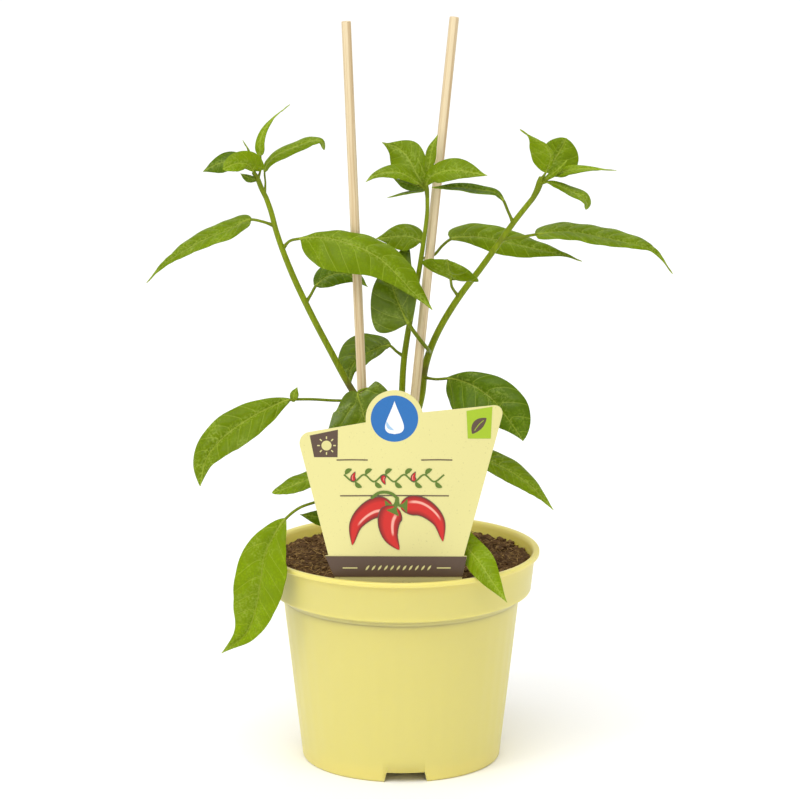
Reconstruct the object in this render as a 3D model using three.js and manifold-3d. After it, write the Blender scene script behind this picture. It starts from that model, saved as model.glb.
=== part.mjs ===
// Potted chilli pepper plant: a young plant with three stems in a pale yellow plastic
// nursery pot, with potting soil, two wooden stakes and a card label.
// Millimetres, +Z up.  The label faces -Y, and the pot stands on Z = 0.
import * as THREE from 'three';
import { mergeVertices } from 'three/addons/utils/BufferGeometryUtils.js';
import Module from 'manifold-3d';

const wasm = await Module();
wasm.setup();

// ---------------------------------------------------------------- driving dimensions

const GAP = 0.3; // clearance between pieces that touch
const SNAP = 0.02; // slivers thinner than this are closed up after a join or a cut

const POT = {
  height: 92.5,
  lipRadius: 60,
  lipHeight: 2.2,
  lipWidth: 2.6,
  bandTopRadius: 58,
  bandLowRadius: 56.3,
  bandLow: 75.3, // lower edge of the thick band under the lip
  neckRadius: 50.9,
  neck: 69, // where the slope under the band meets the wall
  baseRadius: 43,
  wall: 1.2,
  rounding: 0.7,
  footHeight: 4.5,
  footWidth: 2.4,
  floor: 1.5,
  sides: 48,
};
const FOOT_SLOT = {
  count: 3, top: 16.3, bottom: 18.9, height: 4.48, inner: 35.5, depth: 12, turn: 2.6,
};
const DRAIN = { count: 6, radius: 3.5, circle: 27, sides: 12 };

const SOIL = {
  top: 88.2,
  edgeDrop: 0.4,
  edgeInset: 0.4,
  rough: 1.1,
  rings: [0.95, 0.8, 0.58, 0.36, 0.16], // shares of the soil's radius
};

const STAKE = {
  radius: 2,
  sides: 12,
  left: { foot: [-10.5, -9.5, 8], head: [-23, -9, 321.8] },
  right: { foot: [-9.5, -4, 8], head: [22.3, -3, 323] },
};

// The card, as [x, z] in its own plane.
const LABEL = {
  y: -46,
  thickness: 0.8,
  leftSide: [[-27.8, 89.4], [-27.8, 91.1], [-32, 101], [-30.6, 101.2], [-42.6, 147.4]],
  leftCorner: { bend: [-43.6, 153.4], end: [-37.6, 154.1] },
  bump: { x: -2.8, z: 160.1, radius: 11.9, from: [-14.7, 158.4], to: [9.1, 162.7] },
  rightCorner: { start: [36.6, 165.5], bend: [43.4, 166.2], end: [42, 160.2] },
  rightSide: [[26.4, 101], [27.7, 100.8], [25.6, 91.1], [25.6, 89.4]],
  tongue: { x: -2, half: 8, top: 89.4, tip: 5, low: 64, slotTop: 96 },
};

// The eye that the plant is laid out for: in front of the pot, a little above the plant.
const EYE = { distance: 1500, height: 481 };

// Stem routes.  Each point is [x, z, y, radius]: x and z as the eye sees them against the
// upright plane through the pot's axis, y the true depth behind that plane.
const STEMS = {
  main: [[0.6, 50, 3, 2.4], [0.6, 90, 3, 2.4], [0.2, 112, 2, 2.2], [0.4, 131, 2, 2.1]],
  left: [
    [0.4, 128, 2, 1.6], [-9, 145, 1, 1.5], [-21.1, 162.5, 0, 1.45], [-30.5, 180, -1, 1.4],
    [-39.4, 197.5, -2, 1.35], [-47.2, 214.8, -3, 1.3], [-53.3, 232, -3.5, 1.2],
    [-55.5, 240.6, -4, 1.15], [-57.3, 245.8, -4, 1.1],
  ],
  middle: [
    [0.4, 128, 2, 1.5], [0.2, 145, 3, 1.45], [0.4, 162.5, 3, 1.4], [1.2, 175.7, 3, 1.35],
    [2.4, 184.4, 2, 1.3], [5, 199.5, 1, 1.2], [7.4, 213, -1.5, 1.1], [9, 223.4, -5, 1],
    [10.5, 234.2, -7, 0.9], [11.1, 240.6, -7.8, 0.85], [11.1, 246, -8.4, 0.85],
  ],
  right: [
    [0.4, 128, 2, 1.7], [5, 146, 3, 1.7], [8.9, 161.2, 3, 1.6], [10, 171.3, 3, 1.6],
    [12.4, 180, 2.5, 1.5], [16.2, 188.8, 2, 1.45], [21.1, 197.5, 1.5, 1.45],
    [26.8, 206.1, 1, 1.4], [33.4, 214.8, 0, 1.35], [39.5, 223.4, -1, 1.3],
    [48.6, 236.3, -2.5, 1.2], [56, 245.8, -4, 1.15],
  ],
};

// Leaves.  `rib` runs from the stem's middle to the leaf's tip, points as [x, z, y]; the
// blade begins at point number `base`.  `upper` and `lower` are the two halves of the blade:
// [seen width, depth of the edge behind the rib, where it is widest along the blade,
// roundness at the base, taper at the tip, how far the base lobe reaches back].
const LEAVES = {
  leaf_left_out: {
    rib: [[-53.7, 233.8, -3.5], [-59.2, 235.7, -4], [-63.9, 236.5, -4], [-67.2, 235.7, -4],
      [-72.8, 232.6, -4], [-81.3, 229.4, -3], [-89.9, 224.9, -2], [-98.5, 219.3, -1],
      [-103.6, 215, -1], [-108.7, 209.2, -2]],
    base: 2, upper: [3.9, 8, 0.28, 0.55, 1.6], lower: [3.9, -7.5, 0.33, 0.55, 1.6],
  },
  leaf_left_over: {
    rib: [[-50.3, 224.3, -3], [-47.4, 227.3, -6], [-43.1, 228.3, -9], [-34.6, 229, -14],
      [-23.9, 226.8, -18], [-9, 219.8, -21], [-1, 212.2, -22], [5.2, 205.2, -23],
      [13.3, 197.6, -25]],
    base: 2, upper: [7.1, 8, 0.62, 1.4, 1], lower: [13.4, -5, 0.25, 0.4, 1.8],
  },
  leaf_left_inner: {
    rib: [[-40.8, 200.5, -2.2], [-38.6, 204, 0], [-36.4, 207.9, 4], [-32.1, 211.8, 9],
      [-26.1, 213.5, 13], [-19.7, 212, 15], [-14.2, 207.4, 16]],
    base: 2, upper: [5, 6, 0.35, 0.5], lower: [5.2, -4, 0.4, 0.6],
  },
  leaf_middle_back: {
    rib: [[8.9, 222.5, -4.8], [8.4, 227, 1.5], [3.8, 229.4, 4], [-2.6, 229.4, 6],
      [-10.7, 228.4, 8]],
    base: 1, upper: [5.2, 6, 0.35, 0.4], lower: [6.6, -4, 0.4, 0.6],
  },
  leaf_middle_dark: {
    rib: [[12.1, 179, 2.6], [11.4, 180.4, -4.5], [8.4, 184, -9.4], [3.1, 191.6, -11],
      [-0.9, 199.4, -10.5], [-4, 208.5, -7], [-3.2, 217, 1], [2.5, 227, 9]],
    base: 3, upper: [10.4, -3, 0.55, 0.6, 0.8], lower: [13.6, 1, 0.1, 0.3, 3],
  },
  leaf_middle_left: {
    rib: [[1.4, 177, 2.9], [-1.8, 179.2, 5], [-4.8, 181.8, 8], [-11.2, 180.5, 12],
      [-17.6, 177, 14], [-21.9, 171.3, 14], [-22, 164.3, 12]],
    base: 2, upper: [9.2, 4, 0.5, 0.7], lower: [4.2, -4, 0.5, 0.8],
  },
  leaf_right_out: {
    rib: [[42.7, 228, -1.6], [50.5, 229, -2], [57.3, 230.1, -1], [67.5, 231.6, 2],
      [84.6, 229.4, 6], [97.5, 226.4, 8], [105.2, 224.3, 8], [110.4, 220.4, 8],
      [115.8, 213.1, 7]],
    base: 2, upper: [4.2, 9, 0.5, 0.25, 2], lower: [3.8, -8, 0.4, 0.9, 2.6],
  },
  leaf_right_back: {
    rib: [[8.3, 219.4, -3.6], [9.4, 219.8, 0.8], [14, 221.3, 3], [17.4, 225.1, 5.5],
      [21.2, 228.1, 9], [29.3, 229.4, 11], [42.1, 227.7, 13], [54.9, 224.7, 13],
      [65.6, 222.3, 12], [71.1, 220.8, 12], [77.1, 218.5, 11]],
    base: 4, upper: [5.8, 8, 0.3, 0.25, 1.6], lower: [6.1, -4, 0.42, 1, 2.1],
  },
  leaf_right_small: {
    rib: [[24.7, 203, 1.2], [21.7, 207.4, -4], [21.1, 210.7, -8.5], [20.4, 213.9, -13],
      [19.6, 219.1, -18]],
    base: 2, across: -14.7,
    upper: [13, 3, 0.35, 0.5, 0.6, -2], lower: [11.7, 0, 0.45, 0.6, 0.6, -3],
  },
  leaf_right_dark: {
    rib: [[47.7, 235, -2.4], [45.2, 240.6, -5], [43.3, 244.9, -8], [40.3, 248.1, -10],
      [33.5, 249.4, -11.5], [25.8, 250.5, -12.5], [19, 250.6, -13], [13, 250.4, -13.4]],
    base: 2, upper: [2, 2, 0.5, 0.8], lower: [1.6, -4, 0.45, 0.8],
  },
  leaf_right_low: {
    rib: [[9.6, 168, 3], [14.9, 167.2, -3], [17.5, 167.3, -6], [19.7, 167.5, -7],
      [27.4, 166, -13], [33.9, 162.5, -17], [40.4, 157.2, -21], [44.7, 151.5, -24],
      [49.4, 144.9, -26], [52.5, 140, -27]],
    base: 3, upper: [10, 3, 0.68, 1.2, 0.8], lower: [13.4, -5, 0.3, 0.5],
  },
  leaf_left_low: {
    rib: [[-18.2, 158, 0.2], [-27.2, 157.8, -5], [-41.3, 158.4, -9], [-47.8, 158.1, -10],
      [-59.8, 153.3, -13], [-69.3, 147.5, -16], [-77.9, 140.4, -19], [-84, 132.4, -21],
      [-86.9, 120, -22]],
    base: 3, upper: [7.8, 4, 0.55, 0.9, 0.8], lower: [8.4, -6, 0.42, 0.8],
    stipule: {
      rib: [[-46.4, 157.4, -10], [-46, 160.4, -10.5], [-44.7, 163.6, -11]],
      base: 0, upper: [1.8, 1, 0.4], lower: [1.8, -1, 0.4],
    },
  },
  leaf_centre_low: {
    rib: [[0.2, 150, 2.9], [-7, 158, -11], [-14.4, 163, -18], [-18.5, 161.2, -21],
      [-17.4, 156, -23], [-15.5, 149.3, -25], [-13.6, 140, -27], [-12.4, 128, -28]],
    base: 3, upper: [14, 3, 0.42, 0.4, 1, 9], lower: [17, -2, 0.5, 0.5, 1],
  },
  leaf_over_rim: {
    rib: [[0.4, 119, 2.2], [-16, 118.4, -15.4], [-38, 112.6, -27], [-43.7, 110.5, -29],
      [-50.2, 105.3, -31], [-55.8, 97, -32], [-59.4, 89, -32.5], [-61.2, 78, -33],
      [-63.1, 66.8, -32], [-67.4, 54.6, -30], [-78.4, 45, -28]],
    base: 4, upper: [11, 3, 0.45, 0.8], lower: [10.4, -8, 0.38, 0.8],
  },
  leaf_left_small: {
    rib: [[0.3, 125.6, 2], [-14, 127.5, -14], [-29, 127, -18], [-40.3, 123.1, -22],
      [-48.1, 120, -24], [-55.8, 117, -25]],
    base: 2, upper: [3.5, 6, 0.4, 0.8], lower: [3.7, -5, 0.45, 0.8],
  },
  leaf_left_dark: {
    rib: [[0.3, 106, 2.4], [-12, 107.4, -14], [-24, 107.2, -16], [-33, 106.4, -20],
      [-43.8, 107.3, -24]],
    base: 2, upper: [3.3, 4, 0.45], lower: [4.4, -2, 0.4],
  },
  leaf_right_lower: {
    rib: [[2.6, 137, 2.6], [12, 139, -6], [26, 136.5, -14], [40, 130.6, -19], [49.2, 125.5, -21],
      [57.9, 118.5, -22], [65.9, 109.4, -22]],
    base: 2, upper: [5, 6, 0.4, 0.8], lower: [4.8, -5, 0.42, 0.8],
  },
  leaf_right_rim: {
    rib: [[0.4, 113, 2.3], [6.5, 113.4, -3], [10.5, 112.5, -16], [18, 106, -31],
      [23.4, 100.4, -37], [28.8, 92.5, -42], [34, 86, -50], [39.5, 77.5, -56], [46, 68, -59]],
    base: 3, upper: [6.4, 3, 0.55], lower: [4.4, 1.5, 0.6],
  },
};

// Young leaves at the ends of the stems, grown together on a short piece of the stem.
const CROWNS = {
  crown_left: {
    core: [[-57.3, 245.8, -4, 1.1], [-59.4, 250.2, -4.5, 1.1], [-60.9, 254, -5, 1.1],
      [-62.6, 256.8, -6, 0.9]],
    leaves: [
      { rib: [[-61.2, 254.4, -5.5], [-63.7, 257.8, -8], [-67.1, 259.5, -11],
        [-71.8, 259.5, -13], [-76.4, 258.6, -14]],
      base: 1, upper: [5.4, 2, 0.3, 0.3, 0.6], lower: [3.4, -3, 0.6, 0.8, 0.6] },
      { rib: [[-61.2, 254.6, -5], [-64.5, 259.5, -5], [-69.3, 261.8, -5], [-74.8, 261.4, -4],
        [-79.9, 259.5, -3], [-84.1, 257.1, -3]],
      base: 1, upper: [3.8, 3, 0.42, 0.7, 2.2], lower: [4.2, -2, 0.6, 0.7, 2.2] },
      { rib: [[-60.7, 254, -5], [-59.5, 258.6, -4], [-59, 263.3, -3.4], [-60, 269.3, -2.6],
        [-58.4, 274, -2.2], [-54.5, 279.5, -1.5], [-46.9, 285.7, 0]],
      base: 1, upper: [1.7, 2, 0.2, 0.8, 2.5], lower: [1.7, -2, 0.2, 0.8, 2.5] },
      { rib: [[-57.9, 248.3, -4], [-57.6, 252.2, -1.5], [-58, 257.8, 0], [-56.5, 261.2, 2],
        [-54.8, 262.9, 3], [-49.3, 266.1, 5], [-42.9, 268.7, 6], [-37.3, 270.6, 7],
        [-33.9, 270.2, 8], [-32.5, 266.3, 9]],
      base: 3, upper: [2, 5, 0.5, 0.7, 0.8], lower: [2.8, -4, 0.3, 0.6, 0.9] },
      { rib: [[-61.4, 254.6, -6], [-64.4, 266, -7], [-67, 270.4, -8]],
        base: 0, upper: [0.45, 0.3, 0.4], lower: [0.45, -0.3, 0.4] },
      { rib: [[-60.8, 253.6, -5], [-64.4, 254.4, -8], [-68, 256.2, -10]],
        base: 0, upper: [1.3, 1, 0.5], lower: [1.9, -1, 0.5] },
    ],
  },
  crown_middle: {
    core: [[11.1, 246, -8.4, 0.85], [10.8, 249.5, -9.4, 1.05], [10.3, 252, -10, 1.15],
      [10.4, 254.4, -10.4, 0.8]],
    leaves: [
      { rib: [[10.2, 250.4, -9.6], [6.3, 256.5, -7], [4.2, 260.7, -5], [1.2, 265, -2],
        [-2.6, 267.8, 0], [-8.1, 269.5, 1]],
      base: 0, upper: [7.9, 1, 0.55, 0.8, 3], lower: [7.9, 0, 0.6, 0.8, 1.6] },
      { rib: [[9.8, 250.4, -10], [7.6, 251.8, -13], [3.7, 254.8, -16], [-1.3, 256.9, -19],
        [-7.7, 256.7, -21], [-12.4, 254.8, -23], [-15.1, 252.6, -23]],
      base: 1, upper: [3, 4, 0.45, 0.7], lower: [2.7, -3, 0.4, 0.7] },
      { rib: [[10, 250, -10], [6, 251.4, -12.5], [0.6, 252.6, -14], [-3.4, 254.3, -14]],
        base: 0, upper: [1.2, 3, 0.5], lower: [2.9, -1, 0.45, 0.7] },
      { rib: [[10.4, 252, -10], [11.2, 257, -11.5], [12.1, 262, -12], [13, 267.2, -12.5],
        [15.4, 272.8, -13]],
      base: 1, upper: [2.2, 2, 0.35], lower: [2.2, -2, 0.4] },
      { rib: [[10.4, 251, -10.4], [12.2, 254.6, -14], [16.5, 256.9, -17], [22.8, 257.9, -19],
        [29.2, 257, -20], [36.5, 255.5, -21]],
      base: 1, upper: [5, 3.4, 0.55, 0.6, 1.7], lower: [4.6, -3, 0.3, 0.6] },
      { rib: [[10.6, 252, -10.4], [9.5, 256.9, -14], [7, 262.8, -16]],
        base: 0, upper: [1.3, 1, 0.5], lower: [1.3, -1, 0.5] },
      { rib: [[10.2, 249.2, -9.6], [4.6, 248.6, -12], [0.3, 247.8, -13.5], [-5.8, 246, -15]],
        base: 0, upper: [0.5, 2, 0.3, 0.8, 1.6], lower: [0.5, -2, 0.3, 0.8, 1.6] },
    ],
  },
  crown_right: {
    core: [[56, 245.8, -4, 1.15], [57.9, 249.6, -4.6, 1.4], [58.9, 252.6, -5, 1.5],
      [59.4, 254.8, -5.2, 1]],
    leaves: [
      { rib: [[59.8, 253.5, -5], [61.4, 256.9, -3], [64.4, 261.2, -1], [67.4, 266.3, 0],
        [69.9, 271.4, 0]],
      base: 1, upper: [6.6, 1, 0.6, 0.5, 0.6], lower: [9.6, 0, 0.5, 0.45, 0.6] },
      { rib: [[58.6, 254.3, -5.4], [59.1, 258.6, -7], [59.9, 263.3, -9], [59.5, 266.7, -10],
        [56.5, 270.1, -11], [50.3, 275, -12]],
      base: 1, upper: [3.4, 1, 0.4, 0.6, 2.2], lower: [3.6, 1, 0.5, 0.6, 2.2] },
      { rib: [[59.8, 252.6, -5.2], [64.9, 255.2, -8], [69.1, 257.3, -9], [75.1, 258.4, -10],
        [82.4, 258.4, -10], [91.3, 257.5, -10]],
      base: 1, upper: [1.8, 3, 0.25, 0.8, 3], lower: [1.8, -3, 0.25, 0.8, 3] },
      { rib: [[59.4, 252, -5], [66.6, 250.9, -8], [72.6, 248.5, -11], [77.7, 245.8, -13],
        [79, 243.6, -13], [78.6, 240.8, -13]],
      base: 1, upper: [2.5, 4, 0.7, 0.8, 0.6], lower: [1.8, -4, 0.6, 0.8, 0.6] },
      { rib: [[60, 253, -5.4], [67, 258.6, -10.5], [70.3, 262, -12]],
        base: 0, upper: [1.3, 1, 0.5], lower: [1.3, -1, 0.5] },
    ],
  },
};

// How a leaf is built: rings along its stalk and along its blade, and its thickness.
const STALK_RADIUS = 0.8;
const TIP_RIB_RADIUS = 0.45;
const BLADE_HALF_THICKNESS = 0.32;
const ROUND_PART = 1 / 3; // share of the blade over which the stalk's roundness fades
const RING_SPREAD = 1.2; // above 1, the blade's rings lie closer together at its base
const LARGE_LEAF = { stalk: 4, blade: 11 };
const YOUNG_LEAF = { stalk: 2, blade: 7 };
const STIPULE = { stalk: 0, blade: 5 };

// How a stem is built: sides round it, and mm between its rings.
const STEM_BUILD = { sides: 8, spacing: 9 };
const CORE_BUILD = { sides: 8, spacing: 3 };

// ---------------------------------------------------------------- materials

const finish = (name, color, roughness) =>
  new THREE.MeshStandardMaterial({ name, color, roughness, metalness: 0, side: THREE.DoubleSide });

const plasticYellow = () => finish('pale yellow plastic', 0xe8dd88, 0.45);
const peat = () => finish('potting soil', 0x3b2a20, 0.95);
const greenBark = () => finish('green stem', 0x82912a, 0.55);
const leafGreen = () => finish('leaf', 0x5f8a1e, 0.5);
const paleWood = () => finish('pale wood', 0xe6cfa4, 0.75);
const printedCard = () => finish('printed card', 0xf3eda4, 0.4);

// ---------------------------------------------------------------- solids

function solidOf(geometry) {
  const bare = geometry.clone();
  bare.deleteAttribute('normal');
  bare.deleteAttribute('uv');
  const merged = mergeVertices(bare, 1e-4);
  return new wasm.Manifold(new wasm.Mesh({
    numProp: 3,
    vertProperties: new Float32Array(merged.attributes.position.array),
    triVerts: new Uint32Array(merged.index.array),
  }));
}

function geometryOf(solid) {
  const mesh = solid.simplify(SNAP).getMesh();
  const geometry = new THREE.BufferGeometry();
  geometry.setAttribute('position', new THREE.BufferAttribute(mesh.vertProperties, 3));
  geometry.setIndex(new THREE.BufferAttribute(mesh.triVerts, 1));
  geometry.computeVertexNormals();
  return geometry;
}

const joined = (solids) => solids.reduce((whole, solid) => whole.add(solid));

// A point that the eye sees at (x, z), moved along its line of sight to depth y.
function seen([x, z, y]) {
  const share = 1 + y / EYE.distance;
  return new THREE.Vector3(x * share, y, EYE.height - (EYE.height - z) * share);
}

// The step along the eye's line of sight through a point, for 1 mm of depth.
function sightLine({ x, y, z }) {
  const away = EYE.distance + y;
  return new THREE.Vector3(x / away, 1, (z - EYE.height) / away);
}

// A smooth route through points, read by the distance along it.
function routeThrough(points) {
  const curve = new THREE.CatmullRomCurve3(points, false, 'chordal');
  const reach = [0];
  points.slice(1).forEach((point, i) => reach.push(reach[i] + point.distanceTo(points[i])));
  const length = reach.at(-1);
  const at = (distance) => {
    let i = 0;
    while (i < points.length - 2 && distance > reach[i + 1]) i += 1;
    const part = (distance - reach[i]) / (reach[i + 1] - reach[i]);
    return curve.getPoint(THREE.MathUtils.clamp((i + part) / (points.length - 1), 0, 1));
  };
  const heading = (distance) => {
    const step = Math.min(0.5, length / 20);
    const ahead = at(Math.min(distance + step, length));
    return ahead.sub(at(Math.max(distance - step, 0))).normalize();
  };
  return { at, heading, reach, length };
}

// A closed skin over rings of equal size.  The quads from `turned` on are split along their
// other diagonal, so that the two faces of a thin blade are split alike.
function skin(rings, turned = Infinity) {
  const size = rings[0].length;
  const position = rings.flat().flatMap((point) => [point.x, point.y, point.z]);
  const index = [];
  for (let i = 0; i < rings.length - 1; i += 1) {
    for (let j = 0; j < size; j += 1) {
      const a = i * size + j;
      const b = i * size + ((j + 1) % size);
      const [c, d] = [a + size, b + size];
      if (j < turned) index.push(a, b, d, a, d, c);
      else index.push(a, b, c, b, d, c);
    }
  }
  const last = (rings.length - 1) * size;
  for (let j = 1; j < size - 1; j += 1) {
    index.push(0, j + 1, j);
    index.push(last, last + j, last + j + 1);
  }
  const geometry = new THREE.BufferGeometry();
  geometry.setAttribute('position', new THREE.BufferAttribute(new Float32Array(position), 3));
  geometry.setIndex(index);
  return outward(geometry);
}

// Turns a closed mesh right side out if its volume comes out negative.
function outward(geometry) {
  const { array } = geometry.attributes.position;
  const index = geometry.index.array;
  const corner = (i) => new THREE.Vector3().fromArray(array, index[i] * 3);
  let volume = 0;
  for (let i = 0; i < index.length; i += 3) {
    volume += corner(i).dot(corner(i + 1).cross(corner(i + 2)));
  }
  if (volume < 0) geometry.setIndex(Array.from(index).reverse());
  return geometry;
}

// A round tube along a stem's route, its radius eased from point to point.
function stemTube(points, grown, { sides, spacing }) {
  const route = routeThrough(points.map(seen));
  const radius = (distance) => {
    let i = 0;
    while (i < points.length - 2 && distance > route.reach[i + 1]) i += 1;
    const part = (distance - route.reach[i]) / (route.reach[i + 1] - route.reach[i]);
    return THREE.MathUtils.lerp(points[i][3], points[i + 1][3], part) + grown;
  };
  const count = Math.max(3, Math.round(route.length / spacing));
  const rings = [];
  for (let k = 0; k <= count; k += 1) {
    const distance = (route.length * k) / count;
    const heading = route.heading(distance);
    const across = new THREE.Vector3(0, 1, 0).cross(heading).normalize();
    const away = heading.clone().cross(across);
    const centre = route.at(distance);
    if (k === 0) centre.addScaledVector(heading, -grown);
    if (k === count) centre.addScaledVector(heading, grown);
    rings.push(circleOf(centre, across, away, radius(distance), sides));
  }
  return skin(rings);
}

function circleOf(centre, across, away, radius, sides) {
  return Array.from({ length: sides }, (_, j) => {
    const angle = (2 * Math.PI * j) / sides;
    return centre.clone()
      .addScaledVector(across, radius * Math.cos(angle))
      .addScaledVector(away, radius * Math.sin(angle));
  });
}

// Share of a blade's full width at `part` of its length.
function bladeShare(part, widest, roundness = 0.8, taper = 1.25) {
  if (part < widest) return Math.sin((Math.PI / 2) * (part / widest)) ** roundness;
  const fall = Math.cos((Math.PI / 2) * ((part - widest) / (1 - widest)));
  return Math.max(fall, 0) ** taper;
}

// A leaf: a round stalk that opens into a thin blade with a raised rib underneath.
function leafSolid({ rib, base, across, upper, lower }, build) {
  const route = routeThrough(rib.map(seen));
  const start = route.reach[base];
  const toLeft = rib.at(-1)[0] < rib[base][0];
  const distances = [];
  if (base) for (let k = 0; k < build.stalk; k += 1) distances.push((start * k) / build.stalk);
  for (let k = 0; k <= build.blade; k += 1) {
    distances.push(start + (route.length - start) * (k / build.blade) ** RING_SPREAD);
  }
  const rings = distances.map((distance) => {
    const heading = route.heading(distance);
    const centre = route.at(distance);
    const sight = sightLine(centre);
    const flat = new THREE.Vector3(heading.x, 0, heading.z).normalize();
    const turn = THREE.MathUtils.degToRad(across ?? 0);
    const up = across === undefined
      ? new THREE.Vector3(-flat.z, 0, flat.x).multiplyScalar(toLeft ? -1 : 1)
      : new THREE.Vector3(Math.cos(turn), 0, Math.sin(turn));
    const part = Math.max(0, (distance - start) / (route.length - start));
    const thin = Math.min(1, part / ROUND_PART);
    const ribRadius = THREE.MathUtils.lerp(STALK_RADIUS, TIP_RIB_RADIUS, part);
    const halves = [upper, lower].map(([width, depth, widest, roundness, taper, lobe = 0], side) => {
      const share = part > 0 ? bladeShare(part, widest, roundness, taper) : 0;
      const square = up.clone().multiplyScalar(side === 0 ? 1 : -1);
      const edge = square.clone().multiplyScalar(width).addScaledVector(sight, depth)
        .addScaledVector(heading, -lobe * (1 - part) ** 2);
      square.addScaledVector(heading, -square.dot(heading)).normalize();
      return edge.multiplyScalar(share).addScaledVector(square, (1 - share) * ribRadius);
    });
    const face = halves.map((half, side) => {
      const normal = heading.clone().cross(half).normalize();
      return normal.multiplyScalar((side === 0 ? 1 : -1) * (toLeft ? -1 : 1));
    });
    const ridge = face[0].clone().add(face[1]).normalize();
    const octagon = Math.sqrt(0.75) * ribRadius; // half height of the round stalk, half way out
    const round = THREE.MathUtils.lerp(octagon, BLADE_HALF_THICKNESS, thin);
    const crest = THREE.MathUtils.lerp(ribRadius, BLADE_HALF_THICKNESS, thin);
    const layer = (way) => [
      [halves[0], 1, face[0], BLADE_HALF_THICKNESS],
      [halves[0], 0.5, face[0], round],
      [halves[0], 0, ridge, way > 0 ? crest : ribRadius],
      [halves[1], 0.5, face[1], round],
      [halves[1], 1, face[1], BLADE_HALF_THICKNESS],
    ].map(([half, share, normal, height]) => centre.clone()
      .addScaledVector(half, share).addScaledVector(normal, way * height));
    return [...layer(1), ...layer(-1).reverse()];
  });
  return solidOf(skin(rings, 5));
}

// ---------------------------------------------------------------- pieces

// The wall's outer radius at a height between the foot and the neck.
const wallRadius = (z) =>
  THREE.MathUtils.mapLinear(z, 0, POT.neck, POT.baseRadius, POT.neckRadius);

function potGeometry() {
  const plate = POT.footHeight;
  const lipLow = POT.height - POT.lipHeight;
  const outer = [
    [0, plate],
    [POT.baseRadius - POT.footWidth, plate],
    [POT.baseRadius - POT.footWidth, 0],
    [POT.baseRadius - POT.rounding, 0],
    [wallRadius(POT.rounding), POT.rounding],
    [wallRadius(plate), plate],
    [POT.neckRadius, POT.neck],
    [POT.bandLowRadius, POT.bandLow],
    [POT.bandTopRadius, lipLow],
    [POT.lipRadius, lipLow + POT.rounding],
    [POT.lipRadius, POT.height - POT.rounding],
    [POT.lipRadius - POT.rounding, POT.height],
  ];
  const inner = [
    [POT.lipRadius - POT.lipWidth, POT.height],
    [POT.bandTopRadius - POT.wall, POT.height - POT.wall],
    [POT.bandLowRadius - POT.wall, POT.bandLow + POT.wall / 2],
    [POT.neckRadius - POT.wall, POT.neck + POT.wall / 2],
    [wallRadius(plate + POT.floor) - POT.wall, plate + POT.floor],
    [0, plate + POT.floor],
  ];
  const profile = [...outer, ...inner].map(([r, z]) => new THREE.Vector2(r, z));
  let pot = solidOf(new THREE.LatheGeometry(profile, POT.sides).rotateX(Math.PI / 2));
  for (let i = 0; i < FOOT_SLOT.count; i += 1) pot = pot.subtract(footSlot(i));
  for (let i = 0; i < DRAIN.count; i += 1) pot = pot.subtract(drainHole(i));
  return geometryOf(pot);
}

function footSlot(i) {
  const { top, bottom, height, inner, depth, count, turn } = FOOT_SLOT;
  const shape = new THREE.Shape([
    new THREE.Vector2(-bottom / 2, -1), new THREE.Vector2(bottom / 2, -1),
    new THREE.Vector2(top / 2, height), new THREE.Vector2(-top / 2, height),
  ]);
  const slot = new THREE.ExtrudeGeometry(shape, { depth, bevelEnabled: false });
  slot.rotateX(Math.PI / 2).translate(0, -inner, 0);
  slot.rotateZ(THREE.MathUtils.degToRad(turn + (360 * i) / count));
  return solidOf(slot);
}

function drainHole(i) {
  const { radius, sides, circle, count } = DRAIN;
  const hole = new THREE.CylinderGeometry(radius, radius, POT.floor * 3, sides);
  hole.rotateX(Math.PI / 2).translate(circle, 0, POT.footHeight + POT.floor / 2);
  hole.rotateZ((2 * Math.PI * (i + 0.5)) / count);
  return solidOf(hole);
}

// Lumps of the soil's top, a smooth fixed pattern.
const lumps = (x, y) => SOIL.rough * (
  0.5 * Math.sin(x * 0.31 + 1.2) * Math.cos(y * 0.27)
  + 0.35 * Math.sin(x * 0.62 - y * 0.44)
  + 0.25 * Math.cos(x * 0.93 + y * 0.71 + 0.5));

function soilGeometry(holes) {
  const bottom = POT.footHeight + POT.floor + GAP;
  const side = POT.wall + GAP;
  const edge = POT.bandTopRadius - side - SOIL.edgeInset;
  const profile = [
    [0, bottom], [wallRadius(bottom) - side, bottom],
    [POT.neckRadius - side, POT.neck + POT.wall / 2],
    [POT.bandLowRadius - side, POT.bandLow + POT.wall / 2 + GAP],
    [edge, SOIL.top - SOIL.edgeDrop],
    ...SOIL.rings.map((share) => [edge * share, SOIL.top]), [0, SOIL.top],
  ].map(([r, z]) => new THREE.Vector2(r, z));
  const lathe = new THREE.LatheGeometry(profile, POT.sides).rotateX(Math.PI / 2);
  const position = lathe.attributes.position;
  for (let i = 0; i < position.count; i += 1) {
    if (position.getZ(i) > SOIL.top - SOIL.edgeDrop / 2) {
      position.setZ(i, SOIL.top + lumps(position.getX(i), position.getY(i)));
    }
  }
  return geometryOf(holes.reduce((soil, hole) => soil.subtract(hole), solidOf(lathe)));
}

function stakeGeometry({ foot, head }, grown = 0) {
  const [from, to] = [foot, head].map((end) => new THREE.Vector3(...end));
  const way = to.clone().sub(from).normalize();
  from.addScaledVector(way, -grown);
  to.addScaledVector(way, grown);
  const radius = STAKE.radius + grown;
  const shape = new THREE.Shape(Array.from({ length: STAKE.sides }, (_, j) => {
    const angle = (2 * Math.PI * j) / STAKE.sides;
    return new THREE.Vector2(radius * Math.cos(angle), radius * Math.sin(angle));
  }));
  return new THREE.ExtrudeGeometry(shape, {
    extrudePath: new THREE.LineCurve3(from, to), steps: 1, bevelEnabled: false,
  });
}

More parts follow.
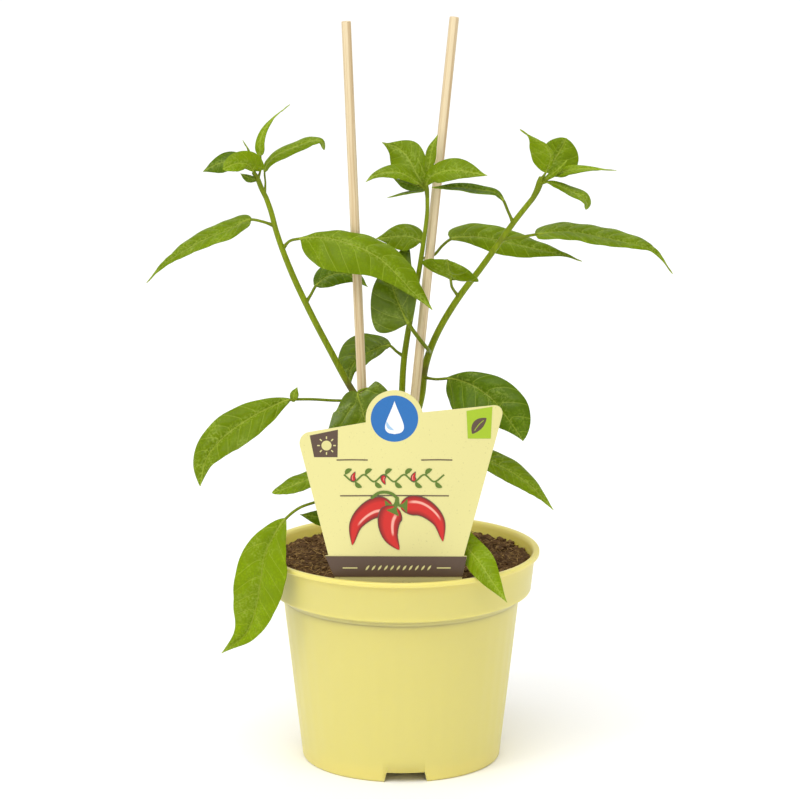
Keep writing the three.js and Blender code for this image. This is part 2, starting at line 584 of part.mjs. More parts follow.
// The card's outline with its round bump, and the tongue that is pushed into the soil.
function labelGeometry() {
  const { leftSide, leftCorner, bump, rightCorner, rightSide, tongue, thickness } = LABEL;
  const angleTo = ([x, z]) => Math.atan2(z - bump.z, x - bump.x);
  const shape = new THREE.Shape();
  shape.moveTo(...leftSide[0]);
  for (const point of leftSide.slice(1)) shape.lineTo(...point);
  shape.quadraticCurveTo(...leftCorner.bend, ...leftCorner.end);
  shape.lineTo(...bump.from);
  shape.absarc(bump.x, bump.z, bump.radius, angleTo(bump.from), angleTo(bump.to) - 2 * Math.PI, true);
  shape.lineTo(...rightCorner.start);
  shape.quadraticCurveTo(...rightCorner.bend, ...rightCorner.end);
  for (const point of rightSide) shape.lineTo(...point);
  shape.lineTo(tongue.x + tongue.half, tongue.top);
  shape.lineTo(tongue.x + tongue.tip, tongue.low);
  shape.lineTo(tongue.x - tongue.tip, tongue.low);
  shape.lineTo(tongue.x - tongue.half, tongue.top);
  const card = new THREE.ExtrudeGeometry(shape, {
    depth: thickness, bevelEnabled: false, curveSegments: 10,
  });
  return card.rotateX(Math.PI / 2).translate(0, LABEL.y + thickness / 2, 0);
}

// The slot in the soil that the card's tongue stands in.
function tongueSlot() {
  const { tongue, thickness } = LABEL;
  const { x, half, top, tip, low, slotTop } = tongue;
  const wide = THREE.MathUtils.mapLinear(slotTop, low, top, tip, half) + GAP;
  const slot = new THREE.Shape([
    new THREE.Vector2(x - wide, slotTop),
    new THREE.Vector2(x - tip - GAP, low - GAP),
    new THREE.Vector2(x + tip + GAP, low - GAP),
    new THREE.Vector2(x + wide, slotTop),
  ]);
  const depth = thickness + 2 * GAP;
  const block = new THREE.ExtrudeGeometry(slot, { depth, bevelEnabled: false });
  return solidOf(block.rotateX(Math.PI / 2).translate(0, LABEL.y + depth / 2, 0));
}

// ---------------------------------------------------------------- assembly

const plant = new THREE.Group();

function add(name, geometry, material) {
  const mesh = new THREE.Mesh(geometry, material);
  mesh.name = name;
  plant.add(mesh);
}

const stemSolid = (grown) =>
  joined(Object.values(STEMS).map((points) => solidOf(stemTube(points, grown, STEM_BUILD))));
const grownStem = stemSolid(GAP);

add('pot', potGeometry(), plasticYellow());
add('soil', soilGeometry([
  grownStem,
  solidOf(stakeGeometry(STAKE.left, GAP)),
  solidOf(stakeGeometry(STAKE.right, GAP)),
  tongueSlot(),
]), peat());
add('stem', geometryOf(stemSolid(0)), greenBark());
add('stake_left', stakeGeometry(STAKE.left), paleWood());
add('stake_right', stakeGeometry(STAKE.right), paleWood());
add('label', labelGeometry(), printedCard());

for (const [name, leaf] of Object.entries(LEAVES)) {
  let solid = leafSolid(leaf, LARGE_LEAF);
  if (leaf.stipule) solid = solid.add(leafSolid(leaf.stipule, STIPULE));
  add(name, geometryOf(solid.subtract(grownStem)), leafGreen());
}

for (const [name, crown] of Object.entries(CROWNS)) {
  const core = solidOf(stemTube(crown.core, 0, CORE_BUILD));
  const leaves = crown.leaves.map((leaf) => leafSolid(leaf, YOUNG_LEAF));
  add(name, geometryOf(joined([core, ...leaves]).subtract(grownStem)), leafGreen());
}

// The origin is on the ground under the middle of the whole plant's outline.
const outline = new THREE.Box3().setFromObject(plant);
plant.position.set(-(outline.min.x + outline.max.x) / 2, -(outline.min.y + outline.max.y) / 2, 0);
plant.updateMatrixWorld(true);

export default plant;
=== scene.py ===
"""A young chilli pepper plant in its nursery pot, laid out as a Blender add-on.

Sizes in the tables are millimetres, measured from the middle of the pot's foot.
"""

import math
import random
from collections import namedtuple

import bmesh
import bpy
from mathutils import Matrix, Vector, noise


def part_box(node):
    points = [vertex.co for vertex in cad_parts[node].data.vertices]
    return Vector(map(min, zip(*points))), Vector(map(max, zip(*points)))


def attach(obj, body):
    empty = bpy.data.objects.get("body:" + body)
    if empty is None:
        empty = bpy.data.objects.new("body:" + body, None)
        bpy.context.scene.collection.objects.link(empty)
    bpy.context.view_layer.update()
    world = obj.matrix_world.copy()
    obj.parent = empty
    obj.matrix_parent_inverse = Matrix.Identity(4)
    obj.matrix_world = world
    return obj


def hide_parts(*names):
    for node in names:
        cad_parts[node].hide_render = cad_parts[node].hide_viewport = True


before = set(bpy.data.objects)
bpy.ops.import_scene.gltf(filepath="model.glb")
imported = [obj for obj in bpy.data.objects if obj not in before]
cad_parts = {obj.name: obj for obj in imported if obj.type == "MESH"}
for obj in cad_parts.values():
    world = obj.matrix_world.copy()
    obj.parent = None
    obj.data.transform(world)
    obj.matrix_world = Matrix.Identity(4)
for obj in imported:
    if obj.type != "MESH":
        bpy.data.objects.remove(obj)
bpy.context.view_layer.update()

bl_info = {
    "name": "Potted chilli pepper plant",
    "version": (1, 0, 0),
    "blender": (4, 5, 0),
    "location": "3D View > Sidebar > Chilli Plant",
    "description": "Builds a young chilli pepper plant in a pale yellow nursery pot",
    "category": "Add Mesh",
}

# ------------------------------------------------------------------ sizes

MM = 0.001
pot_low, pot_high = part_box("pot")
POT_AXIS = Vector(((pot_low.x + pot_high.x) / 2, (pot_low.y + pot_high.y) / 2, 0))
ON_AXIS = Matrix.Translation(POT_AXIS) @ Matrix.Scale(MM, 4)

# The pot's outline as (radius, height, rounding) from the middle of its underside, round
# the lip and down to the middle of its floor.
POT_OUTLINE = [
    (0, 4.5, 0), (40.6, 4.5, 0.3), (40.6, 0, 0.5), (43.0, 0, 1.1), (51.3, 72.4, 0.5),
    (56.3, 74.9, 0.6), (58, 90.3, 0.3), (60, 90.5, 0.55), (60, 92.5, 0.7), (57.6, 92.5, 0.6),
    (56.8, 91.3, 0.8), (55.1, 75.9, 1), (49.7, 69.6, 1), (42.49, 6, 1), (0, 6, 0),
]
POT_STEPS = 240
# Heights at which the wall gets a ring of points, so that its flutes can fade.
WALL_RINGS = range(10, 66, 8)
# The middle of the sloped wall's thickness: its radius at the foot, and how much more that
# is at the neck.
WALL = {"foot": 42.6, "spread": 7.9, "neck": 69}
# The flutes: between which heights and how soon they fade, and their mean depth and its
# unevenness as shares of the depth in the settings.
FLUTES = {"count": 42, "low": 8, "high": 70, "fade": 4, "mean": 0.6, "uneven": 0.8,
          "patches": 4}
FOOT_SLOT = {"count": 3, "top": 16.3, "bottom": 18.9, "height": 4.48, "inner": 35.5,
             "depth": 12, "turn": 2.6}
DRAIN = {"count": 6, "radius": 3.5, "circle": 27, "low": 3, "high": 9}

SOIL_TOP = 88.2
SOIL_ROUGH = 1.1
# The soil's side as (radius, height), from its top edge down.
SOIL_SIDE = [(56.1, 87.6), (54.8, 76.2), (49.4, 69.6), (42.2, 6.3)]
SOIL_RADIUS = SOIL_SIDE[0][0]
SOIL_STEPS = 190
# The size and height of the soil's clods and pits, and how far its edge sinks at the wall,
# from which share of its radius on.
CLOD = {"size": 4.5, "height": 0.95}
PIT = {"size": 1.5, "height": 0.45}
SOIL_EDGE = {"start": 0.93, "width": 0.07, "sink": 0.8}
# Loose crumbs and fibres: over which share of the soil's radius they lie, and their sizes.
# Shares of a crumb's size say how high it lies, how long, high and ragged it is.
CRUMB = {"spread": 0.97, "least": 0.28, "more": 1.5, "lift": 0.15, "tilt": 0.5,
         "long": (0.9, 1.7), "high": 0.7, "ragged": 0.35}
FIBRE = {"spread": 0.92, "length": (2, 6.5), "radius": (0.07, 0.2), "lift": 0.45, "slope": 24,
         "bend": 2.4, "steps": 5, "sides": 4}
SCATTER_SEED = 11
SCATTER_BATCH = 100

# Each stake's foot and head.
STAKE_LEFT = ((-10.5, -9.5, 8), (-23, -9, 321.8))
STAKE_RIGHT = ((-9.5, -4, 8), (22.3, -3, 323))
STAKE_RINGS = 24
WORN_EDGE = 0.3
# Moves a stake's grain by this share of its own place, so that no two stakes are alike.
GRAIN_SHIFT = 0.7

# The eye of the photograph: how far in front of the pot's axis, above its foot and to its
# left it stands, and how many degrees it looks down.
EYE_DISTANCE = 1500
EYE_HEIGHT = 481
EYE_ASIDE = 0.5
EYE_TILT = 12.15

# Stem routes as (x, z, depth, radius), x and z as seen against the plane through the axis.
STEMS = {
    "main": [(0.6, 50, 3, 2.4), (0.6, 90, 3, 2.4), (0.2, 112, 2, 2.2), (0.4, 131, 2, 2.1)],
    "left": [
        (0.4, 128, 2, 1.6), (-9, 145, 1, 1.5), (-21.1, 162.5, 0, 1.45), (-30.5, 180, -1, 1.4),
        (-39.4, 197.5, -2, 1.35), (-47.2, 214.8, -3, 1.3), (-53.3, 232, -3.5, 1.2),
        (-55.5, 240.6, -4, 1.15), (-57.3, 245.8, -4, 1.1),
    ],
    "middle": [
        (0.4, 128, 2, 1.5), (0.2, 145, 3, 1.45), (0.4, 162.5, 3, 1.4), (1.2, 175.7, 3, 1.35),
        (2.4, 184.4, 2, 1.3), (5, 199.5, 1, 1.2), (7.4, 213, -1.5, 1.1), (9, 223.4, -5, 1),
        (10.5, 234.2, -7, 0.9), (11.1, 240.6, -7.8, 0.85), (11.1, 246, -8.4, 0.85),
    ],
    "right": [
        (0.4, 128, 2, 1.7), (5, 146, 3, 1.7), (8.9, 161.2, 3, 1.6), (10, 171.3, 3, 1.6),
        (12.4, 180, 2.5, 1.5), (16.2, 188.8, 2, 1.45), (21.1, 197.5, 1.5, 1.45),
        (26.8, 206.1, 1, 1.4), (33.4, 214.8, 0, 1.35), (39.5, 223.4, -1, 1.3),
        (48.6, 236.3, -2.5, 1.2), (56, 245.8, -4, 1.15),
    ],
}

# One half of a blade: its seen width, the depth of its edge behind the rib, where along the
# blade it is widest, and how round its base, how tapered its tip and how long its lobe is.
Half = namedtuple("Half", "width depth widest roundness taper lobe", defaults=(0.8, 1.25, 0))
# A leaf's rib runs from the stem's middle to the tip as (x, z, depth), and the blade begins
# at point number `base`.
Leaf = namedtuple("Leaf", "rib base upper lower across tone stalk",
                  defaults=(None, "grown", 0.62))

LEAVES = {
    "leaf_left_out": [Leaf(
        [(-53.7, 233.8, -3.5), (-59.2, 235.7, -4), (-63.9, 236.5, -4), (-67.2, 235.7, -4),
         (-72.8, 232.6, -4), (-81.3, 229.4, -3), (-89.9, 224.9, -2), (-98.5, 219.3, -1),
         (-103.6, 215, -1), (-108.7, 209.2, -2)],
        2, Half(3.9, 8, 0.22, 0.35, 1.6), Half(3.9, -7.5, 0.25, 0.35, 1.6))],
    "leaf_left_over": [Leaf(
        [(-50.3, 224.3, -3), (-47.4, 227.3, -6), (-43.1, 228.3, -9), (-34.6, 229, -14),
         (-23.9, 226.8, -18), (-9, 219.8, -21), (-1, 212.2, -22), (5.2, 205.2, -23),
         (13.3, 197.6, -25)],
        2, Half(7.1, 8, 0.62, 1.4, 1), Half(13.4, -5, 0.25, 0.36, 1.8, 2.4))],
    "leaf_left_inner": [Leaf(
        [(-40.8, 200.5, -2.2), (-38.6, 204, 0), (-36.4, 207.9, 4), (-32.1, 211.8, 9),
         (-26.1, 213.5, 13), (-19.7, 212, 15), (-14.2, 207.4, 16)],
        2, Half(5, 6, 0.35, 0.5), Half(5.2, -4, 0.4, 0.6), tone="deep")],
    "leaf_middle_back": [Leaf(
        [(8.9, 222.5, -4.8), (8.4, 227, 1.5), (3.8, 229.4, 4), (-2.6, 229.4, 6),
         (-10.7, 228.4, 8)],
        1, Half(5.2, 6, 0.35, 0.4), Half(6.6, -4, 0.4, 0.6))],
    "leaf_middle_dark": [Leaf(
        [(12.1, 179, 2.6), (11.4, 180.4, -4.5), (8.4, 184, -9.4), (3.1, 191.6, -11),
         (-0.9, 199.4, -10.5), (-4, 208.5, -7), (-3.2, 217, 1), (2.5, 227, 9)],
        3, Half(10.4, -3, 0.55, 0.6, 0.8), Half(13.6, 1, 0.1, 0.3, 3), tone="shaded",
        stalk=0.85)],
    "leaf_middle_left": [Leaf(
        [(1.4, 177, 2.9), (-1.8, 179.2, 5), (-4.8, 181.8, 8), (-11.2, 180.5, 12),
         (-17.6, 177, 14), (-21.9, 171.3, 14), (-22, 164.3, 12)],
        2, Half(9.2, 4, 0.5, 0.7), Half(4.2, -4, 0.5, 0.8), tone="shaded")],
    "leaf_right_out": [Leaf(
        [(42.7, 228, -1.6), (50.5, 229, -2), (57.3, 230.1, -1), (67.5, 231.6, 2),
         (84.6, 229.4, 6), (97.5, 226.4, 8), (105.2, 224.3, 8), (110.4, 220.4, 8),
         (115.8, 213.1, 7)],
        2, Half(4.2, 9, 0.5, 0.22, 2), Half(3.8, -8, 0.4, 0.35, 2.6))],
    "leaf_right_back": [Leaf(
        [(8.3, 219.4, -3.6), (9.4, 219.8, 0.8), (14, 221.3, 3), (17.4, 225.1, 5.5),
         (21.2, 228.1, 9), (29.3, 229.4, 11), (42.1, 227.7, 13), (54.9, 224.7, 13),
         (65.6, 222.3, 12), (71.1, 220.8, 12), (77.1, 218.5, 11)],
        4, Half(5.8, 8, 0.3, 0.22, 1.6, 1.4), Half(6.1, -4, 0.42, 1, 2.1))],
    "leaf_right_small": [Leaf(
        [(24.7, 203, 1.2), (21.7, 207.4, -4), (21.1, 210.7, -8.5), (20.4, 213.9, -13),
         (19.6, 219.1, -18)],
        2, Half(13, 3, 0.35, 0.5, 0.6, -2), Half(11.7, 0, 0.45, 0.6, 0.6, -3), -14.7)],
    "leaf_right_dark": [Leaf(
        [(47.7, 235, -2.4), (45.2, 240.6, -5), (43.3, 244.9, -8), (40.3, 248.1, -10),
         (33.5, 249.4, -11.5), (25.8, 250.5, -12.5), (19, 250.6, -13), (13, 250.4, -13.4)],
        2, Half(2, 2, 0.5, 0.8), Half(1.6, -4, 0.45, 0.8), tone="deep")],
    "leaf_right_low": [Leaf(
        [(9.6, 168, 3), (14.9, 167.2, -3), (17.5, 167.3, -6), (19.7, 167.5, -7),
         (27.4, 166, -13), (33.9, 162.5, -17), (40.4, 157.2, -21), (44.7, 151.5, -24),
         (49.4, 144.9, -26), (52.5, 140, -27)],
        3, Half(11, 3, 0.7, 1.2, 0.7, 1.2), Half(13.4, -5, 0.3, 0.4, lobe=5.6), tone="deep")],
    "leaf_left_low": [
        Leaf(
            [(-18.2, 158, 0.2), (-27.2, 157.8, -5), (-41.3, 158.4, -9), (-47.8, 158.1, -10),
             (-59.8, 153.3, -13), (-69.3, 147.5, -16), (-77.9, 140.4, -19),
             (-84, 132.4, -21), (-86.9, 120, -22)],
            3, Half(7.8, 4, 0.55, 0.9, 0.8), Half(8.4, -6, 0.42, 0.8)),
        Leaf([(-46.4, 157.4, -10), (-46, 160.4, -10.5), (-44.7, 163.6, -11)],
             0, Half(1.8, 1, 0.4), Half(1.8, -1, 0.4)),
    ],
    "leaf_centre_low": [Leaf(
        [(0.2, 150, 2.9), (-7, 158, -11), (-14.4, 163, -18), (-18.5, 161.2, -21),
         (-17.4, 156, -23), (-15.5, 149.3, -25), (-13.6, 140, -27), (-12.4, 128, -28)],
        3, Half(14, 3, 0.42, 0.4, 1, 9), Half(17, -2, 0.5, 0.5, 1), tone="shaded")],
    "leaf_over_rim": [Leaf(
        [(0.4, 119, 2.2), (-16, 118.4, -15.4), (-38, 112.6, -27), (-43.7, 110.5, -29),
         (-50.2, 105.3, -31), (-55.8, 97, -32), (-59.4, 89, -32.5), (-61.2, 78, -33),
         (-63.1, 66.8, -32), (-67.4, 54.6, -30), (-78.4, 45, -28)],
        4, Half(11, 3, 0.45, 0.8), Half(10.4, -8, 0.38, 0.8), tone="fresh")],
    "leaf_left_small": [Leaf(
        [(0.3, 125.6, 2), (-14, 127.5, -14), (-29, 127, -18), (-40.3, 123.1, -22),
         (-48.1, 120, -24), (-55.8, 117, -25)],
        2, Half(3.5, 6, 0.5, 0.8, 0.7), Half(3.7, -5, 0.5, 0.8, 0.7))],
    "leaf_left_dark": [Leaf(
        [(0.3, 106, 2.4), (-12, 107.4, -14), (-24, 107.2, -16), (-33, 106.4, -20),
         (-43.8, 107.3, -24)],
        2, Half(3.3, 4, 0.45), Half(4.4, -2, 0.4), tone="deep")],
    "leaf_right_lower": [Leaf(
        [(2.6, 137, 2.6), (12, 139, -6), (26, 136.5, -14), (40, 130.6, -19),
         (49.2, 125.5, -21), (57.9, 118.5, -22), (65.9, 109.4, -22)],
        2, Half(5, 6, 0.4, 0.8), Half(4.8, -5, 0.42, 0.8))],
    "leaf_right_rim": [Leaf(
        [(0.4, 113, 2.3), (6.5, 113.4, -3), (10.5, 112.5, -16), (18, 106, -31),
         (23.4, 100.4, -37), (28.8, 92.5, -42), (34, 86, -50), (39.5, 77.5, -56),
         (46, 68, -59)],
        3, Half(6.4, 3, 0.55), Half(5.6, 1.5, 0.55), tone="fresh")],
}

# The growing tips: a short piece of the stem with its young leaves.
CROWN_CORES = {
    "crown_left": [(-57.3, 245.8, -4, 1.1), (-59.4, 250.2, -4.5, 1.1), (-60.9, 254, -5, 1.1),
                   (-62.6, 256.8, -6, 0.9)],
    "crown_middle": [(11.1, 246, -8.4, 0.85), (10.8, 249.5, -9.4, 1.05),
                     (10.3, 252, -10, 1.15), (10.4, 254.4, -10.4, 0.8)],
    "crown_right": [(56, 245.8, -4, 1.15), (57.9, 249.6, -4.6, 1.4), (58.9, 252.6, -5, 1.5),
                    (59.4, 254.8, -5.2, 1)],
}
CROWNS = {
    "crown_left": [
        Leaf([(-61.2, 254.4, -5.5), (-62.8, 257.4, -8), (-65.4, 260.4, -11),
              (-70.2, 260.6, -13), (-75.6, 258.2, -14)],
             1, Half(5.6, 2, 0.3, 0.28, 0.7, 4.6), Half(3.4, -3, 0.6, 0.7, 0.7), tone="fresh"),
        Leaf([(-61.2, 254.6, -5), (-64.5, 259.5, -5), (-69.3, 261.8, -5), (-74.8, 261.4, -4),
              (-79.9, 259.5, -3), (-84.1, 257.1, -3)],
             1, Half(3.8, 3, 0.42, 0.7, 1.4), Half(4.4, -2, 0.6, 0.7, 1.2), tone="deep"),
        Leaf([(-60.7, 254, -5), (-59.5, 258.6, -4), (-59.6, 263.8, -3.4), (-60, 267.6, -2.6),
              (-58.4, 274, -2.2), (-54.5, 279.5, -1.5), (-46.9, 285.7, 0)],
             2, Half(1.9, 1.4, 0.12, 0.6, 3.4), Half(1.9, -1.4, 0.12, 0.6, 3.4), tone="fresh"),
        Leaf([(-57.9, 248.3, -4), (-57.6, 252.2, -1.5), (-57.9, 257, 0), (-56.9, 260.6, 2),
              (-54.8, 262.9, 3), (-49.3, 266.1, 5), (-42.9, 268.7, 6), (-37.3, 270.6, 7),
              (-33.9, 270.2, 8), (-32.5, 266.3, 9)],
             2, Half(2, 5, 0.5, 0.7, 0.6), Half(2.8, -4, 0.4, 0.6, 0.7)),
        Leaf([(-61.4, 254.6, -6), (-64.4, 266, -7), (-67, 270.4, -8)],
             0, Half(0.45, 0.3, 0.4), Half(0.45, -0.3, 0.4)),
        Leaf([(-60.8, 253.6, -5), (-64.4, 254.4, -8), (-68, 256.2, -10)],
             0, Half(1.3, 1, 0.5), Half(1.9, -1, 0.5), tone="deep"),
    ],
    "crown_middle": [
        Leaf([(10.2, 250.4, -9.6), (6.3, 256.5, -7), (4.2, 260.7, -5), (1.2, 265, -2),
              (-2.6, 267.8, 0), (-8.1, 269.5, 1)],
             0, Half(7.2, 1, 0.55, 0.8, 2.4), Half(7.9, 0, 0.62, 0.8, 1.4)),
        Leaf([(9.8, 250.4, -10), (7.6, 251.8, -13), (3.7, 254.8, -16), (-1.3, 256.9, -19),
              (-7.7, 256.7, -21), (-12.4, 254.8, -23), (-15.1, 252.6, -23)],
             1, Half(3, 4, 0.45, 0.7), Half(2.7, -3, 0.4, 0.7)),
        Leaf([(10, 250, -10), (6, 251.4, -12.5), (0.6, 252.6, -14), (-3.4, 254.3, -14)],
             0, Half(1.2, 3, 0.5), Half(2.9, -1, 0.45, 0.7), tone="deep"),
        Leaf([(10.4, 252, -10), (11.2, 257, -11.5), (12.1, 262, -12), (13, 267.2, -12.5),
              (15.4, 272.8, -13)],
             1, Half(2.2, 2, 0.35), Half(2.2, -2, 0.4)),
        Leaf([(10.4, 251, -10.4), (12.2, 254.6, -14), (16.5, 256.9, -17), (22.8, 257.9, -19),
              (29.2, 257, -20), (36.5, 255.5, -21)],
             0, Half(5, 3.4, 0.6, 1, 1.5), Half(4.6, -3, 0.36, 0.9, 1)),
        Leaf([(10.6, 252, -10.4), (9.5, 256.9, -14), (7, 262.8, -16)],
             0, Half(1.3, 1, 0.5), Half(1.3, -1, 0.5)),
        Leaf([(10.2, 249.2, -9.6), (4.6, 248.6, -12), (0.3, 247.8, -13.5), (-5.8, 246, -15)],
             0, Half(0.5, 2, 0.3, 0.8, 1.6), Half(0.5, -2, 0.3, 0.8, 1.6)),
    ],
    "crown_right": [
        Leaf([(59.8, 253.5, -5), (61.4, 256.9, -3), (64.4, 261.2, -1), (67.4, 266.3, 0),
              (69.9, 271.4, 0)],
             1, Half(6.6, 1, 0.6, 0.5, 0.6), Half(9.6, 0, 0.5, 0.45, 0.6)),
        Leaf([(59, 253.6, -5.4), (61.2, 256.6, -8), (62.9, 260.4, -10), (63.4, 264.4, -12),
              (60.6, 268.4, -13), (56.2, 271.2, -13.5), (50.3, 275, -14)],
             1, Half(1.2, 3, 0.4, 0.6, 2), Half(8.4, -1, 0.35, 0.85, 2.6), 0, tone="fresh"),
        Leaf([(59.8, 252.6, -5.2), (64.9, 255.2, -8), (69.1, 257.3, -9), (75.1, 258.4, -10),
              (82.4, 258.4, -10), (91.3, 257.5, -10)],
             1, Half(1.8, 3, 0.25, 0.8, 3), Half(1.8, -3, 0.25, 0.8, 3), tone="fresh"),
        Leaf([(59.4, 252, -5), (61.6, 252.6, -6), (66.6, 251.2, -8), (72.6, 248.5, -11),
              (77.7, 245.8, -13), (79, 243.6, -13), (78.6, 240.8, -13)],
             1, Half(2.3, 4, 0.7, 0.8, 0.6), Half(1.8, -4, 0.6, 0.8, 0.6)),
        Leaf([(60, 253, -5.4), (67, 258.6, -10.5), (70.3, 262, -12)],
             0, Half(1.3, 1, 0.5), Half(1.3, -1, 0.5)),
    ],
}

# The radius of a young leaf's stalk, and of every rib at its tip.
YOUNG_STALK = 0.42
TIP_RADIUS = 0.12
# Above 1, a blade's cross rows stand closer together towards its base.
RING_SPREAD = 1.2
# A blade's rows of points along and across it.
LARGE_BLADE = (96, 36)
YOUNG_BLADE = (48, 20)
SMALL_BLADE = (24, 12)
# The first seeds of the leaves' own unevenness.
LEAF_SEED, CROWN_SEED = 1, 31
# One place along a leaf, and what the relief of a blade depends on: its length, its larger
# half width, how full its relief is, the spacing of its veins, its swells and its seed.
Section = namedtuple("Section", "middle heading halves ridge radius part")
Blade = namedtuple("Blade", "length full size spacing swell seed")
# Where a leaf's materials stand in its piece, before the skins of its blades.
UNDERSIDE, STALK = 0, 1
# A distance from the rib at which a leaf's skin shows no trace of it.
OFF_RIB = 9

# A blade of this half width or more has its full relief.
FULL_RELIEF = 9
# Side veins: their least spacing, also as a share of the half width, how they lean towards
# the tip and arch, and how far the two halves and each next leaf are out of step.
VEIN = {"least": 1.6, "share": 0.62, "lean": 0.5, "arch": 0.45, "stagger": 0.22, "next": 0.37}
# How deep and wide the sunken side veins are, as a share of the swells, and the midrib.
VEIN_SINK = {"depth": 1.25, "width": 1}
RIB_SINK = {"depth": 0.38, "width": 0.8}
# How far a half blade is crowned, bent unevenly and waved at its edge, as shares of its
# half width, and the length of one wave.
CROWNED, BENT, WAVED = 0.05, 0.05, 0.02
WAVE_LENGTH = 11
# The size and height of the uneven skin.
UNEVEN_SKIN = {"size": 2.1, "height": 0.1}
# A stalk's swollen foot on the stem: how much thicker, and how long.
STALK_FOOT = {"thicker": 0.55, "length": 2.4}

STEM_STEPS, STEM_SIDES = 120, 20
CORE_STEPS, CORE_SIDES = 16, 16
STALK_SIDES = 10
# Brown joints of the stems as (x, z, depth, reach, strength).
BROWN_JOINTS = [
    (-22, 163.8, 0, 3.6, 0.85), (-19, 160, 0.4, 3, 0.5), (10, 171, 3, 3, 0.8),
    (11.4, 178.4, 2.6, 1.8, 0.35), (47.7, 235, -2.4, 1.5, 0.3), (55.6, 245, -4, 1.2, 0.55),
    (-53.7, 233.8, -3.5, 1.5, 0.3), (-40.8, 200.5, -2.2, 1.5, 0.3), (42.7, 228, -1.6, 1.8, 0.4),
]

# The card's corners in its own plane as (x, z, rounding), from the foot of its left side to
# the bump and from the bump down and round its tongue.  The bump is round, up to its end.
LABEL_Y = -46
LABEL_CORNERS = [
    (-27.8, 89.4, 0), (-27.8, 91.1, 0), (-32, 101, 0.3), (-30.6, 101.2, 0),
    (-43.6, 153.4, 5.2), (-14.7, 158.4, 0),
]
LABEL_BUMP = {"x": -2.8, "z": 160.1, "radius": 11.9, "end": (9.1, 162.7)}
LABEL_CORNERS_RIGHT = [
    (43.4, 166.2, 5.2), (26.4, 101, 0), (27.7, 100.8, 0.3), (25.6, 91.1, 0), (25.6, 89.4, 0),
    (6, 89.4, 0), (3, 64, 1.5), (-7, 64, 1.5), (-10, 89.4, 0),
]
CARD_EDGE = 0.12
INKS = ["white", "blue", "pale_blue", "red", "green", "brown", "lime", "card"]
# How far the first ink lies off the card, how far each next shape lies off the last, and
# how thick a layer is.
INK_LIFT, INK_STEP, INK_THICKNESS = 0.02, 0.006, 0.015

# The soft lights as (place, aim, side, share of the key light's power), in metres, and the
# sun's turn and spread in degrees.
SOFT_LIGHTS = {
    "key_left": ((-1.3, -1.2, 1.5), (0, 0, 0.12), 0.7, 1),
    "top_back": ((0.2, 0.9, 1.7), (0, 0, 0.15), 0.9, 0.6),
}
SUN_TURN = (28, -10, 0)
SUN_SPREAD = 50
# Half the floor's side, in metres.
FLOOR_REACH = 30
# The camera's sensor in mm, and how far it sees, in metres.
SENSOR_WIDTH = 36
SIGHT_LIMIT = 100

# ------------------------------------------------------------------ settings


def linear(hex_colour):
    """The linear colour of an sRGB hex value such as "e8dd88"."""
    parts = [int(hex_colour[i:i + 2], 16) / 255 for i in (0, 2, 4)]
    return tuple(c / 12.92 if c <= 0.04045 else ((c + 0.055) / 1.055) ** 2.4 for c in parts)


def length_property(name, description, default_mm):
    """A size that the sidebar shows as a length."""
    return bpy.props.FloatProperty(
        name=name, description=description, default=default_mm * MM, unit="LENGTH", precision=5)


def colour_property(name, description, hex_colour):
    """A colour that the sidebar shows as a swatch."""
    return bpy.props.FloatVectorProperty(
        name=name, description=description, default=linear(hex_colour), subtype="COLOR",
        min=0, max=1)


class ChilliPotSettings(bpy.types.PropertyGroup):
    rim_diameter: bpy.props.FloatProperty(
        name="Rim diameter", description="Diameter across the pot's lip",
        default=pot_high.x - pot_low.x, unit="LENGTH", precision=5)
    height: bpy.props.FloatProperty(
        name="Height", description="Height of the pot from its foot to its lip",
        default=pot_high.z, unit="LENGTH", precision=5)
    flute_depth: length_property(
        "Flute depth", "How far the upright flutes stand out from the wall", 0.11)
    colour: colour_property("Plastic", "Colour of the pot's plastic", "e5d67a")


class ChilliSoilSettings(bpy.types.PropertyGroup):
    crumbs: bpy.props.IntProperty(
        name="Crumbs", description="Loose crumbs on the soil", default=2600, min=0, max=4000)
    fibres: bpy.props.IntProperty(
        name="Fibres", description="Loose fibres on the soil", default=1500, min=0, max=3000)
    peat: colour_property("Peat", "Colour of the dark peat", "65492c")
    fibre: colour_property("Fibre", "Colour of the pale fibres", "b8945c")


class ChilliStakeSettings(bpy.types.PropertyGroup):
    diameter: length_property("Diameter", "Diameter of the two round stakes", 4)
    wood: colour_property("Wood", "Colour of the stakes' wood", "e9d6ae")
    streak: colour_property("Streaks", "Colour of the grain in the wood", "cdb183")


class ChilliLabelSettings(bpy.types.PropertyGroup):
    thickness: length_property("Thickness", "Thickness of the card", 0.8)
    card: colour_property("Card", "Colour of the card", "e2da92")
    red: colour_property("Red ink", "Colour of the printed pods", "cf1d12")
    green: colour_property("Green ink", "Colour of the printed stalks", "5d7a1c")
    brown: colour_property("Brown ink", "Colour of the printed band", "5b4636")
    blue: colour_property("Blue ink", "Colour of the printed round spot", "1d6fb8")


